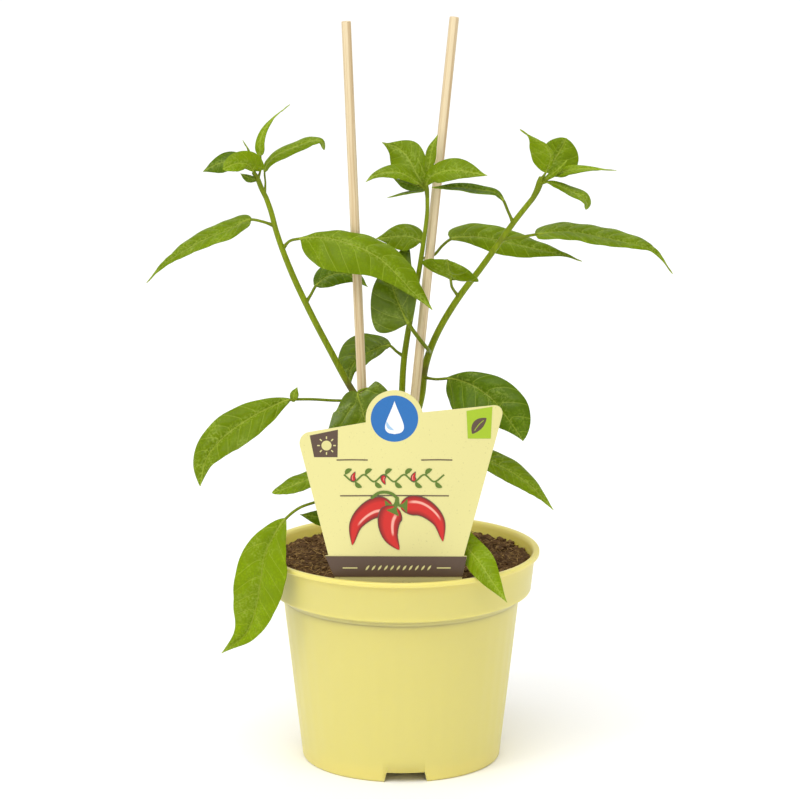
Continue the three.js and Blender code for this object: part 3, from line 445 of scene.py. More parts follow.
class ChilliPlantSettings(bpy.types.PropertyGroup):
    blade_thickness: length_property("Blade thickness", "Thickness of a leaf's blade", 0.42)
    vein_spacing: length_property("Vein spacing", "Distance between a leaf's side veins", 7.4)
    quilting: length_property("Quilting", "Height of the swells between the veins", 0.36)
    fresh: colour_property("Young leaf", "Colour of the youngest leaves", "7e9706")
    grown: colour_property("Grown leaf", "Colour of the grown leaves", "738b05")
    deep: colour_property("Dark leaf", "Colour of the oldest leaves", "577203")
    shaded: colour_property("Shaded leaf", "Colour of the inner leaves", "647b0d")
    vein: colour_property("Vein", "Colour of the veins", "a1b23c")
    # This pale colour is a painted sheen: mixed into the leaves beside the midrib and in
    # patches, it stands in for light glancing off them.
    sheen_colour: colour_property("Bloom", "Colour of the fine hairs and wax", "b6c758")
    stem: colour_property("Stem", "Colour of the stem's skin", "87990f")
    stalk: colour_property("Stalk", "Colour of the leaves' stalks", "7a8a1c")
    node: colour_property("Joint", "Colour of the stem at its joints", "5a4630")


class ChilliStageSettings(bpy.types.PropertyGroup):
    floor: colour_property("Floor", "Colour of the floor", "ffffff")
    key_power: bpy.props.FloatProperty(
        name="Key light", description="Power of the large soft light", default=6,
        unit="POWER")
    overhead: bpy.props.FloatProperty(
        name="Overhead", description="Strength of the even light from above", default=1.35,
        min=0)
    sky: bpy.props.FloatProperty(
        name="Sky", description="Strength of the light from all round", default=0.68, min=0)
    lens: bpy.props.FloatProperty(
        name="Lens", description="Focal length of the camera", default=160.65,
        unit="CAMERA")


SETTINGS = {
    "chilli_pot": ChilliPotSettings,
    "chilli_soil": ChilliSoilSettings,
    "chilli_stakes": ChilliStakeSettings,
    "chilli_label": ChilliLabelSettings,
    "chilli_plant": ChilliPlantSettings,
    "chilli_stage": ChilliStageSettings,
}

# ------------------------------------------------------------------ materials


def add_node(tree, kind, sockets=None, **settings):
    """Adds a shader node with its own settings, and gives each named socket a value or a
    link.  A node given as a value stands for its first output."""
    added = tree.nodes.new("ShaderNode" + kind)
    for name, value in settings.items():
        setattr(added, name, value)
    for name, value in (sockets or {}).items():
        if isinstance(value, bpy.types.Node):
            value = value.outputs[0]
        if isinstance(value, bpy.types.NodeSocket):
            tree.links.new(value, added.inputs[name])
        else:
            added.inputs[name].default_value = value
    return added


def new_material(name):
    """An empty node material."""
    material = bpy.data.materials.new(name)
    material.use_nodes = True
    material.node_tree.nodes.clear()
    return material, material.node_tree


def shade(tree, **sockets):
    """The material's one shader, with its sockets' values or links."""
    named = {name.replace("_", " ").title().replace("Ior", "IOR"): value
             for name, value in sockets.items()}
    shader = add_node(tree, "BsdfPrincipled", named)
    add_node(tree, "OutputMaterial", {"Surface": shader})


def solid_colour(colour):
    """A colour property's value with full opacity."""
    return (*colour, 1)


def scale_for(size_mm):
    """The texture scale whose features are about that many millimetres across."""
    return 1 / (size_mm * MM)


def injection_moulded_polypropylene(settings):
    """Pale dyed plastic out of a polished mould: even colour, satin gloss, a wall so thin
    that light glows through it, and the faint orange-peel of moulded plastic, which is
    drawn at 1.5 mm so that it shows."""
    material, tree = new_material("Polypropylene, injection moulded")
    place = add_node(tree, "TexCoord").outputs["Object"]
    peel = add_node(tree, "TexNoise", {"Vector": place, "Scale": scale_for(1.5), "Detail": 2})
    cloud = add_node(tree, "TexNoise", {"Vector": place, "Scale": scale_for(40), "Detail": 2})
    base = Vector(settings.colour)
    colour = add_node(tree, "MixRGB", {
        "Fac": cloud, "Color1": solid_colour(base * 0.97), "Color2": solid_colour(base)})
    gloss = add_node(tree, "MapRange", {
        "Value": cloud, "From Min": 0.3, "From Max": 0.7, "To Min": 0.36, "To Max": 0.44})
    bump = add_node(tree, "Bump", {"Height": peel, "Strength": 0.08, "Distance": 0.2 * MM})
    shade(tree, base_color=colour, roughness=gloss, ior=1.49, subsurface_weight=0.55,
          subsurface_radius=(0.95, 0.9, 0.5), subsurface_scale=5 * MM, normal=bump)
    return material


def fibrous_peat(settings):
    """Loose peat, screened and damp: nearly black pits, brown crumbs and a matt surface."""
    material, tree = new_material("Peat, screened and damp")
    place = add_node(tree, "TexCoord").outputs["Object"]
    crumb = add_node(tree, "TexNoise", {"Vector": place, "Scale": scale_for(2.2), "Detail": 6})
    patch = add_node(tree, "TexNoise", {"Vector": place, "Scale": scale_for(9), "Detail": 3})
    peat, fibre = Vector(settings.peat), Vector(settings.fibre)
    dark = add_node(tree, "MixRGB", {
        "Fac": patch, "Color1": solid_colour(peat * 0.45), "Color2": solid_colour(peat * 1.2)})
    grain = add_node(tree, "MapRange", {"Value": crumb, "From Min": 0.52, "From Max": 0.72})
    colour = add_node(tree, "MixRGB", {
        "Fac": grain, "Color1": dark, "Color2": solid_colour(fibre * 0.7)})
    bump = add_node(tree, "Bump", {"Height": crumb, "Strength": 0.9, "Distance": 0.8 * MM})
    shade(tree, base_color=colour, roughness=0.95, specular_ior_level=0.2, normal=bump)
    return material


def peat_fibre(settings):
    """Shredded bark and root fibre: thin dry strands, paler than the peat, matt."""
    material, tree = new_material("Bark fibre, shredded")
    place = add_node(tree, "TexCoord").outputs["Object"]
    patch = add_node(tree, "TexNoise", {"Vector": place, "Scale": scale_for(5), "Detail": 2})
    tone = add_node(tree, "MapRange", {"Value": patch, "From Min": 0.35, "From Max": 0.65})
    colour = add_node(tree, "MixRGB", {
        "Fac": tone, "Color1": solid_colour(settings.peat),
        "Color2": solid_colour(settings.fibre)})
    shade(tree, base_color=colour, roughness=0.9, specular_ior_level=0.2)
    return material


def turned_beech(settings):
    """Bare turned dowel: pale wood with long darker streaks along the grain, nearly matt."""
    material, tree = new_material("Beech dowel, turned")
    along = add_node(tree, "Attribute", attribute_name="grain")
    stretched = add_node(tree, "Mapping",
                         {"Vector": along.outputs["Vector"], "Scale": (1, 1, 0.012)})
    streak = add_node(tree, "TexNoise", {
        "Vector": stretched, "Scale": scale_for(0.9), "Detail": 3})
    fine = add_node(tree, "TexNoise", {
        "Vector": stretched, "Scale": scale_for(0.3), "Detail": 2})
    mask = add_node(tree, "MapRange", {"Value": streak, "From Min": 0.45, "From Max": 0.66})
    colour = add_node(tree, "MixRGB", {
        "Fac": mask, "Color1": solid_colour(settings.wood),
        "Color2": solid_colour(settings.streak)})
    bump = add_node(tree, "Bump", {"Height": fine, "Strength": 0.25, "Distance": 0.3 * MM})
    shade(tree, base_color=colour, roughness=0.62, ior=1.5, normal=bump)
    return material


def living_leaf(name, blade, vein, sheen_colour, roughness, sheen_amount, wax):
    """A living leaf: skin with a soft gloss under a thin coat of wax, a pale midrib, faint
    arched side veins, a painted sheen of pale grains beside the midrib and in whitish
    patches, and a fine net of small cells, drawn at 1.6 mm so that it shows."""
    material, tree = new_material(name)
    place = add_node(tree, "TexCoord").outputs["Object"]
    leaf_place = add_node(tree, "Attribute", attribute_name="leaf_place")
    split = add_node(tree, "SeparateXYZ", {"Vector": leaf_place.outputs["Vector"]})
    near_vein = add_node(tree, "Math", {0: split.outputs["X"], 1: 0.5}, operation="PINGPONG")
    side_vein = add_node(tree, "MapRange", {
        "Value": near_vein, "From Min": 0.006, "From Max": 0.036, "To Min": 0.55,
        "To Max": 0}, interpolation_type="SMOOTHSTEP")
    near_rib = add_node(tree, "Math", {0: split.outputs["Y"]}, operation="ABSOLUTE")
    midrib = add_node(tree, "MapRange", {
        "Value": near_rib, "From Min": 0.1, "From Max": 0.36, "To Min": 0.62,
        "To Max": 0}, interpolation_type="SMOOTHSTEP")
    lines = add_node(tree, "Math", {0: side_vein, 1: midrib}, operation="MAXIMUM")
    net = add_node(tree, "TexVoronoi", {"Vector": place, "Scale": scale_for(1.6)},
                   feature="DISTANCE_TO_EDGE")
    cells = add_node(tree, "MapRange", {"Value": net, "From Min": 0, "From Max": 0.22})
    cloud = add_node(tree, "TexNoise", {"Vector": place, "Scale": scale_for(14), "Detail": 4})
    tone = add_node(tree, "MapRange", {"Value": cloud, "From Min": 0.35, "From Max": 0.65})
    base = Vector(blade)
    mottled = add_node(tree, "MixRGB", {
        "Fac": tone, "Color1": solid_colour(base * 0.72), "Color2": solid_colour(base * 1.1)})
    netted = add_node(tree, "MixRGB", {
        "Fac": cells, "Color1": solid_colour(base * 0.86), "Color2": mottled})
    grain = add_node(tree, "TexNoise", {"Vector": place, "Scale": scale_for(0.9), "Detail": 3})
    grains = add_node(tree, "MapRange", {"Value": grain, "From Min": 0.42, "From Max": 0.68})
    # Painted sheen: pale grains beside the midrib and in whitish patches are mixed into the
    # colour, standing in for light glancing off the leaf.
    beside_rib = add_node(tree, "MapRange", {
        "Value": near_rib, "From Min": 0.4, "From Max": 2.6, "To Min": 1, "To Max": 0})
    patches = add_node(tree, "TexNoise", {"Vector": place, "Scale": scale_for(9), "Detail": 2})
    patch = add_node(tree, "MapRange", {"Value": patches, "From Min": 0.52, "From Max": 0.72})
    pale = add_node(tree, "Math", {0: beside_rib, 1: patch}, operation="MAXIMUM")
    pale = add_node(tree, "Math", {0: pale, 1: grains}, operation="MULTIPLY")
    pale = add_node(tree, "Math", {0: pale, 1: sheen_amount}, operation="MULTIPLY")
    with_sheen = add_node(tree, "MixRGB", {
        "Fac": pale, "Color1": netted, "Color2": solid_colour(sheen_colour)})
    colour = add_node(tree, "MixRGB", {
        "Fac": lines, "Color1": with_sheen, "Color2": solid_colour(vein)})
    gloss = add_node(tree, "MapRange", {
        "Value": cloud, "From Min": 0.3, "From Max": 0.7,
        "To Min": roughness - 0.05, "To Max": roughness + 0.08})
    bump = add_node(tree, "Bump", {"Height": grain, "Strength": 0.3, "Distance": 0.4 * MM})
    shade(tree, base_color=colour, roughness=gloss, ior=1.45, specular_ior_level=0.06,
          coat_weight=wax, coat_roughness=0.26, coat_ior=1.45, subsurface_weight=0.25,
          subsurface_radius=(0.7, 1, 0.15), subsurface_scale=0.8 * MM, normal=bump)
    return material


def green_stem_skin(settings):
    """The skin of a green stem: smooth, faintly ridged along its length, soft gloss, and
    brown where leaves have joined it."""
    material, tree = new_material("Green stem skin")
    place = add_node(tree, "TexCoord").outputs["Object"]
    stretched = add_node(tree, "Mapping", {"Vector": place, "Scale": (1, 1, 0.08)})
    streak = add_node(tree, "TexNoise", {
        "Vector": stretched, "Scale": scale_for(0.8), "Detail": 3})
    mask = add_node(tree, "MapRange", {"Value": streak, "From Min": 0.35, "From Max": 0.7})
    stem = Vector(settings.stem)
    skin = add_node(tree, "MixRGB", {
        "Fac": mask, "Color1": solid_colour(stem), "Color2": solid_colour(stem * 0.68)})
    joint = add_node(tree, "Attribute", attribute_name="joint")
    colour = add_node(tree, "MixRGB", {
        "Fac": joint.outputs["Fac"], "Color1": skin, "Color2": solid_colour(settings.node)})
    bump = add_node(tree, "Bump", {"Height": streak, "Strength": 0.3, "Distance": 0.3 * MM})
    shade(tree, base_color=colour, roughness=0.4, ior=1.45, specular_ior_level=0.2,
          subsurface_weight=0.15, subsurface_radius=(0.7, 1, 0.2), subsurface_scale=MM,
          normal=bump)
    return material


def coated_card(settings):
    """Coated card: smooth and satin, pale yellow with a fine speckle of grey-green."""
    material, tree = new_material("Card, coated")
    place = add_node(tree, "TexCoord").outputs["Object"]
    speckle = add_node(tree, "TexNoise",
                       {"Vector": place, "Scale": scale_for(0.9), "Detail": 2})
    mask = add_node(tree, "MapRange", {
        "Value": speckle, "From Min": 0.66, "From Max": 0.74, "To Max": 0.35})
    card = Vector(settings.card)
    colour = add_node(tree, "MixRGB", {
        "Fac": mask, "Color1": solid_colour(card), "Color2": solid_colour(card * 0.6)})
    shade(tree, base_color=colour, roughness=0.4, ior=1.5)
    return material


def printing_ink(name, colour):
    """Offset printing ink on coated card: flat colour with a satin varnish."""
    material, tree = new_material(name)
    place = add_node(tree, "TexCoord").outputs["Object"]
    grain = add_node(tree, "TexNoise", {"Vector": place, "Scale": scale_for(0.7), "Detail": 2})
    base = Vector(colour)
    mixed = add_node(tree, "MixRGB", {
        "Fac": grain, "Color1": solid_colour(base * 0.9), "Color2": solid_colour(base)})
    shade(tree, base_color=mixed, roughness=0.4, ior=1.5)
    return material


def pod_ink(settings):
    """Red printing ink graded across a drawn pod: dark at the edges, a pale streak of
    light, and flat satin varnish over it."""
    material, tree = new_material("Printing ink, red, graded")
    drawn = add_node(tree, "Attribute", attribute_name="drawn")
    split = add_node(tree, "SeparateXYZ", {"Vector": drawn.outputs["Vector"]})
    edge = add_node(tree, "Math", {0: split.outputs["Y"]}, operation="ABSOLUTE")
    shadow = add_node(tree, "MapRange", {"Value": edge, "From Min": 0.45, "From Max": 1})
    red = Vector(settings.red)
    body = add_node(tree, "MixRGB", {
        "Fac": shadow, "Color1": solid_colour(red), "Color2": solid_colour(red * 0.35)})
    aside = add_node(tree, "Math", {0: split.outputs["Y"], 1: 0.38}, operation="SUBTRACT")
    aside = add_node(tree, "Math", {0: aside}, operation="ABSOLUTE")
    streak = add_node(tree, "MapRange", {
        "Value": aside, "From Min": 0.06, "From Max": 0.2, "To Min": 0.75, "To Max": 0},
        interpolation_type="SMOOTHSTEP")
    middle = add_node(tree, "Math", {0: split.outputs["X"], 1: 0.4}, operation="SUBTRACT")
    middle = add_node(tree, "Math", {0: middle}, operation="ABSOLUTE")
    short = add_node(tree, "MapRange", {
        "Value": middle, "From Min": 0.18, "From Max": 0.3, "To Min": 1, "To Max": 0},
        interpolation_type="SMOOTHSTEP")
    light = add_node(tree, "Math", {0: streak, 1: short}, operation="MULTIPLY")
    colour = add_node(tree, "MixRGB", {
        "Fac": light, "Color1": body, "Color2": solid_colour(linear("f9c3b0"))})
    shade(tree, base_color=colour, roughness=0.4, ior=1.5)
    return material


# ------------------------------------------------------------------ shared shapes


def blend_between(start, end, part):
    """The value that far from start to end."""
    return start + (end - start) * part


def seen(point):
    """A point that the eye sees at (x, z), moved along its line of sight to its depth."""
    x, z, depth = point[:3]
    share = 1 + depth / EYE_DISTANCE
    return Vector((x * share, depth, EYE_HEIGHT - (EYE_HEIGHT - z) * share))


class Route:
    """A smooth curve through points, read by the distance along its chords."""

    def __init__(self, points):
        self.points = points
        self.ends = [2 * points[0] - points[1], *points, 2 * points[-1] - points[-2]]
        self.reach = [0]
        for before, after in zip(points, points[1:]):
            self.reach.append(self.reach[-1] + (after - before).length)
        self.length = self.reach[-1]

    def span(self, distance):
        """The stretch that a distance falls in, and how far along it."""
        i = 0
        while i < len(self.points) - 2 and distance > self.reach[i + 1]:
            i += 1
        part = (distance - self.reach[i]) / (self.reach[i + 1] - self.reach[i])
        return i, min(max(part, 0), 1)

    def at(self, distance):
        """The point at a distance."""
        i, part = self.span(distance)
        a, b, c, d = self.ends[i:i + 4]
        ab, bc, cd = (b - a).length, (c - b).length, (d - c).length
        leave = ((b - a) / ab - (c - a) / (ab + bc) + (c - b) / bc) * bc
        arrive = ((c - b) / bc - (d - b) / (bc + cd) + (d - c) / cd) * bc
        square, cube = part ** 2, part ** 3
        return (b * (2 * cube - 3 * square + 1) + leave * (cube - 2 * square + part)
                + c * (3 * square - 2 * cube) + arrive * (cube - square))

    def heading(self, distance):
        """The direction of travel at a distance."""
        step = min(0.5, self.length / 20)
        ahead = self.at(min(distance + step, self.length))
        return (ahead - self.at(max(distance - step, 0))).normalized()


def add_tube(bm, section, steps, sides):
    """Wraps a grid round a route: section(part) gives the middle, two cross axes and the
    radius.  Its first and last rings close to a point.  Gives back the part of the route at
    which each of its points stands."""
    grid = bmesh.ops.create_grid(bm, x_segments=steps, y_segments=sides, size=1)
    rings = {}
    places = {}
    for vert in grid["verts"]:
        part = round((vert.co.x + 1) / 2, 5)
        places[vert] = part
        if part not in rings:
            rings[part] = section(part)
        middle, across, away, radius = rings[part]
        angle = math.pi * vert.co.y
        if part in (0, 1):
            radius = 0
        vert.co = middle + (across * math.cos(angle) + away * math.sin(angle)) * radius
    bmesh.ops.remove_doubles(bm, verts=grid["verts"], dist=1e-5)
    return {vert: part for vert, part in places.items() if vert.is_valid}


def close_ended(part, steps):
    """Moves the rings next to a tube's ends close to them, so that its ends are flat."""
    first = 1 / steps
    if part <= 0 or part >= 1:
        return part
    if part <= first * 1.001:
        return 0
    if part >= 1 - first * 1.001:
        return 1
    return (part - first) / (1 - 2 * first)


def mesh_from(name, bm):
    """Turns a bmesh, which ends here, into a mesh."""
    mesh = bpy.data.meshes.new(name)
    bm.to_mesh(mesh)
    bm.free()
    return mesh


def add_object(name, data):
    """Puts a new object into the scene."""
    added = bpy.data.objects.new(name, data)
    bpy.context.scene.collection.objects.link(added)
    return added


def make_piece(name, bm, materials, replaced, smooth_to=40):
    """Turns a mesh laid out in millimetres round the pot's axis into a piece of the plant."""
    bmesh.ops.transform(bm, matrix=ON_AXIS, verts=bm.verts)
    mesh = mesh_from(name, bm)
    for material in materials:
        mesh.materials.append(material)
    mesh.shade_smooth()
    mesh.set_sharp_from_angle(angle=math.radians(smooth_to))
    piece = add_object(name, mesh)
    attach(piece, "root")
    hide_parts(*replaced)
    return piece


def cut_away(piece, cutter_bm):
    """Cuts a closed shape, laid out like the piece, out of the piece's mesh."""
    bmesh.ops.transform(cutter_bm, matrix=ON_AXIS, verts=cutter_bm.verts)
    cutter = add_object("cutter", mesh_from("cutter", cutter_bm))
    cut = piece.modifiers.new("cut", "BOOLEAN")
    cut.object = cutter
    cut.solver = "EXACT"
    bpy.context.view_layer.update()
    whole = piece.evaluated_get(bpy.context.evaluated_depsgraph_get())
    cut_mesh = bpy.data.meshes.new_from_object(whole)
    piece.modifiers.clear()
    uncut, cutter_mesh = piece.data, cutter.data
    piece.data = cut_mesh
    cut_mesh.name = piece.name
    bpy.data.objects.remove(cutter)
    bpy.data.meshes.remove(uncut)
    bpy.data.meshes.remove(cutter_mesh)


# ------------------------------------------------------------------ pot and soil


def build_pot(settings):
    """Spins the pot's rounded outline, presses its flutes and cuts its slots and drains."""
    wide = settings.rim_diameter / (pot_high.x - pot_low.x)
    tall = settings.height / pot_high.z
    bm = bmesh.new()
    corners = [bm.verts.new((r * wide, 0, z * tall)) for r, z, _ in POT_OUTLINE]
    for pair in zip(corners, corners[1:]):
        bm.edges.new(pair)
    for corner, (_, _, rounding) in zip(corners, POT_OUTLINE):
        if rounding:
            bmesh.ops.bevel(bm, geom=[corner], offset=rounding, affect="VERTICES", segments=4,
                            profile=0.5, material=-1)
    for height in WALL_RINGS:
        bmesh.ops.bisect_plane(bm, geom=bm.verts[:] + bm.edges[:], plane_co=(0, 0, height),
                               plane_no=(0, 0, 1))
    bmesh.ops.spin(bm, geom=bm.verts[:] + bm.edges[:], cent=(0, 0, 0), axis=(0, 0, 1),
                   angle=math.tau, steps=POT_STEPS, use_merge=True)
    bmesh.ops.remove_doubles(bm, verts=bm.verts, dist=1e-4)
    bmesh.ops.recalc_face_normals(bm, faces=bm.faces)
    press_flutes(bm, settings.flute_depth / MM)
    pot = make_piece("nursery_pot", bm, [injection_moulded_polypropylene(settings)], ["pot"])
    cut_away(pot, slots_and_drains())


def press_flutes(bm, depth):
    """Moves the outside of the pot's wall in and out in upright flutes that fade out at both
    ends and are uneven round the pot."""
    low, high, fade_height = FLUTES["low"], FLUTES["high"], FLUTES["fade"]
    for vert in bm.verts:
        radius = math.hypot(vert.co.x, vert.co.y)
        outside = radius > WALL["foot"] + (vert.co.z / WALL["neck"]) * WALL["spread"]
        if outside and low < vert.co.z < high:
            fade = min(1, (vert.co.z - low) / fade_height, (high - vert.co.z) / fade_height)
            turn = math.atan2(vert.co.y, vert.co.x)
            place = Vector((math.cos(turn), math.sin(turn), 0)) * FLUTES["patches"]
            uneven = FLUTES["mean"] + FLUTES["uneven"] * noise.noise(place)
            swell = math.cos(FLUTES["count"] * turn) * depth * fade * uneven
            vert.co.x *= 1 + swell / radius
            vert.co.y *= 1 + swell / radius


def slots_and_drains():
    """The shapes that cut the slots out of the pot's foot ring and the holes out of its
    floor."""
    cutters = bmesh.new()
    half_top, half_bottom = FOOT_SLOT["top"] / 2, FOOT_SLOT["bottom"] / 2
    for i in range(FOOT_SLOT["count"]):
        turn = math.radians(FOOT_SLOT["turn"] + 360 * i / FOOT_SLOT["count"])
        block = bmesh.ops.create_cube(cutters, size=1)["verts"]
        for vert in block:
            half = half_top if vert.co.z > 0 else half_bottom
            vert.co = Vector((
                half * (1 if vert.co.x > 0 else -1),
                -FOOT_SLOT["inner"] - (0 if vert.co.y > 0 else FOOT_SLOT["depth"]),
                FOOT_SLOT["height"] if vert.co.z > 0 else -1))
        bmesh.ops.rotate(cutters, verts=block, cent=(0, 0, 0),
                         matrix=Matrix.Rotation(turn, 3, "Z"))
    for i in range(DRAIN["count"]):
        angle = math.tau * (i + 0.5) / DRAIN["count"]
        middle = Vector((math.cos(angle) * DRAIN["circle"], math.sin(angle) * DRAIN["circle"],
                         (DRAIN["low"] + DRAIN["high"]) / 2))
        bmesh.ops.create_cone(cutters, cap_ends=True, segments=32, radius1=DRAIN["radius"],
                              radius2=DRAIN["radius"], depth=DRAIN["high"] - DRAIN["low"],
                              matrix=Matrix.Translation(middle))
    return cutters


def soil_surface(x, y):
    """Height of the soil's top at a place: broad lumps as in the solid, clods and pits."""
    lumps = (0.5 * math.sin(x * 0.31 + 1.2) * math.cos(y * 0.27)
             + 0.35 * math.sin(x * 0.62 - y * 0.44)
             + 0.25 * math.cos(x * 0.93 + y * 0.71 + 0.5))
    clod = noise.fractal(Vector((x / CLOD["size"], y / CLOD["size"], 0)), 1, 2, 4)
    pit = noise.noise(Vector((x / PIT["size"], y / PIT["size"], 7)))
    edge = max(0, math.hypot(x, y) / SOIL_RADIUS - SOIL_EDGE["start"]) / SOIL_EDGE["width"]
    return (SOIL_TOP + SOIL_ROUGH * lumps + CLOD["height"] * clod + PIT["height"] * pit
            - SOIL_EDGE["sink"] * edge ** 2)


def build_soil(settings):
    """A solid of soil with a rough top, and loose crumbs and fibres bedded in it."""
    bm = bmesh.new()
    grid = bmesh.ops.create_grid(bm, x_segments=SOIL_STEPS, y_segments=SOIL_STEPS, size=1)
    for vert in grid["verts"]:
        u, v = vert.co.x, vert.co.y
        x = SOIL_RADIUS * u * math.sqrt(1 - v * v / 2)
        y = SOIL_RADIUS * v * math.sqrt(1 - u * u / 2)
        vert.co = Vector((x, y, soil_surface(x, y)))
    rim = [edge for edge in bm.edges if edge.is_boundary]
    for side_radius, height in SOIL_SIDE:
        ring = bmesh.ops.extrude_edge_only(bm, edges=rim)["geom"]
        rim = [item for item in ring if isinstance(item, bmesh.types.BMEdge)]
        for vert in {vert for edge in rim for vert in edge.verts}:
            flat = Vector((vert.co.x, vert.co.y, 0)).normalized() * side_radius
            vert.co = Vector((flat.x, flat.y, min(height, vert.co.z - 0.1)))
    bmesh.ops.edgeloop_fill(bm, edges=rim)
    bmesh.ops.recalc_face_normals(bm, faces=bm.faces)
    peat = fibrous_peat(settings)
    make_piece("potting_soil", bm, [peat], ["soil"], smooth_to=180)

    # Without a seed, the noise that makes the crumbs ragged would follow the clock.
    noise.seed_set(SCATTER_SEED)
    dice = random.Random(SCATTER_SEED)
    scatter("peat_crumbs", settings.crumbs, peat, add_crumb, dice)
    scatter("peat_fibres", settings.fibres, peat_fibre(settings), add_fibre, dice)


def place_on_soil(dice, kind):
    """A random place for a crumb or a fibre on the soil."""
    reach = SOIL_RADIUS * kind["spread"] * math.sqrt(dice.random())
    turn = dice.random() * math.tau
    return reach * math.cos(turn), reach * math.sin(turn)


def add_crumb(bm, dice):
    """One loose crumb of peat, bedded in the soil's top.  Most are small."""
    x, y = place_on_soil(dice, CRUMB)
    size = CRUMB["least"] + CRUMB["more"] * dice.random() ** 4
    place = (Matrix.Translation((x, y, soil_surface(x, y) + size * CRUMB["lift"]))
             @ Matrix.Rotation(dice.random() * math.tau, 4, "Z")
             @ Matrix.Rotation(dice.uniform(-CRUMB["tilt"], CRUMB["tilt"]), 4, "X")
             @ Matrix.Diagonal((size * dice.uniform(*CRUMB["long"]), size,
                                size * CRUMB["high"], 1)))
    crumb = bmesh.ops.create_icosphere(bm, subdivisions=1, radius=1, matrix=place)
    for vert in crumb["verts"]:
        vert.co += noise.noise_vector(vert.co * 1.7) * size * CRUMB["ragged"]


def add_fibre(bm, dice):
    """One bent strand of root or bark, lying on the soil's top."""
    x, y = place_on_soil(dice, FIBRE)
    long = dice.uniform(*FIBRE["length"])
    radius = dice.uniform(*FIBRE["radius"])
    place = (Matrix.Translation((x, y, soil_surface(x, y) + FIBRE["lift"]))
             @ Matrix.Rotation(dice.random() * math.tau, 4, "Z")
             @ Matrix.Rotation(
                 math.radians(90 + dice.uniform(-FIBRE["slope"], FIBRE["slope"])), 4, "Y"))
    bend = dice.uniform(-FIBRE["bend"], FIBRE["bend"])
    across, away = place.to_3x3().col[0], place.to_3x3().col[1]

    def strand(part):
        middle = place @ Vector((bend * (part - 0.5) ** 2, 0, (part - 0.5) * long))
        return middle, across, away, radius

    add_tube(bm, strand, FIBRE["steps"], FIBRE["sides"])


def scatter(name, count, material, add_one, dice):
    """A piece made of many small shapes, built in batches, because adding to a large mesh
    is slow."""
    bm = bmesh.new()
    for start in range(0, count, SCATTER_BATCH):
        batch = bmesh.new()
        for _ in range(start, min(start + SCATTER_BATCH, count)):
            add_one(batch, dice)
        bmesh.ops.recalc_face_normals(batch, faces=batch.faces)
        mesh = mesh_from("batch", batch)
        bm.from_mesh(mesh)
        bpy.data.meshes.remove(mesh)
    make_piece(name, bm, [material], ["soil"], smooth_to=20)


# ------------------------------------------------------------------ stakes


def build_stake(name, node, ends, material, radius):
    """A round dowel with worn ends, and its own grain running along it."""
    foot, head = (Vector(end) for end in ends)
    length = (head - foot).length
    bm = bmesh.new()
    grain = bm.verts.layers.float_vector.new("grain")
    bmesh.ops.create_cone(bm, cap_ends=True, segments=32, radius1=radius, radius2=radius,
                          depth=length)
    rims = [edge for edge in bm.edges
            if all(abs(abs(vert.co.z) - length / 2) < 1e-3 for vert in edge.verts)]
    bmesh.ops.bevel(bm, geom=rims, offset=WORN_EDGE, affect="EDGES", segments=2, profile=0.5,
                    material=-1)
    for ring in range(1, STAKE_RINGS):
        bmesh.ops.bisect_plane(bm, geom=bm.verts[:] + bm.edges[:] + bm.faces[:],
                               plane_co=(0, 0, length * (ring / STAKE_RINGS - 0.5)),
                               plane_no=(0, 0, 1))
    shift = Vector((head.x, foot.y, 0)) * GRAIN_SHIFT
    for vert in bm.verts:
        vert[grain] = (vert.co + shift) * MM
    turn = Vector((0, 0, 1)).rotation_difference(head - foot).to_matrix().to_4x4()
    bmesh.ops.transform(bm, matrix=Matrix.Translation((foot + head) / 2) @ turn,
                        verts=bm.verts)
    make_piece(name, bm, [material], [node])


# ------------------------------------------------------------------ stem and leaves


def stem_section(points, steps):
    """The section of a stem's tube, its radius eased from point to point."""
    route = Route([seen(point) for point in points])

    def section(part):
        distance = route.length * close_ended(part, steps)
        i, share = route.span(distance)
        radius = blend_between(points[i][3], points[i + 1][3], share)
        heading = route.heading(distance)
        across = Vector((0, 1, 0)).cross(heading).normalized()
        return route.at(distance), across, heading.cross(across), radius

    return section


def blade_share(part, half):
    """Share of a half blade's full width at a part of its length."""
    if part <= 0:
        return 0
    if part < half.widest:
        return math.sin(math.pi / 2 * part / half.widest) ** half.roundness
    fall = math.cos(math.pi / 2 * (part - half.widest) / (1 - half.widest))
    return max(fall, 0) ** half.taper


def points_left(leaf):
    """Whether a leaf's blade runs to the left, as seen from the front."""
    return leaf.rib[-1][0] < leaf.rib[leaf.base][0]


def leaf_section(leaf, route, distance):
    """A leaf's cross-section: its middle and heading, two half blades with their facings,
    the facing between them, the rib's radius and the part of the blade's length."""
    start = route.reach[leaf.base]
    part = max(0, (distance - start) / (route.length - start))
    heading, middle = route.heading(distance), route.at(distance)
    away = EYE_DISTANCE + middle.y
    sight = Vector((middle.x / away, 1, (middle.z - EYE_HEIGHT) / away))
    flat = Vector((heading.x, 0, heading.z)).normalized()
    way = -1 if points_left(leaf) else 1
    if leaf.across is None:
        up = Vector((-flat.z, 0, flat.x)) * way
    else:
        turn = math.radians(leaf.across)
        up = Vector((math.cos(turn), 0, math.sin(turn)))
    radius = blend_between(leaf.stalk, TIP_RADIUS, part)
    halves = []
    for sign, half in ((1, leaf.upper), (-1, leaf.lower)):
        share = blade_share(part, half)
        square = up * sign
        edge = square * half.width + sight * half.depth
        edge -= heading * half.lobe * (1 - part) ** 2
        square = (square - heading * square.dot(heading)).normalized()
        reach = edge * share + square * (1 - share) * radius
        halves.append((reach, heading.cross(reach).normalized() * sign * way))
    ridge = (halves[0][1] + halves[1][1]).normalized()
    return Section(middle, heading, halves, ridge, radius, part)


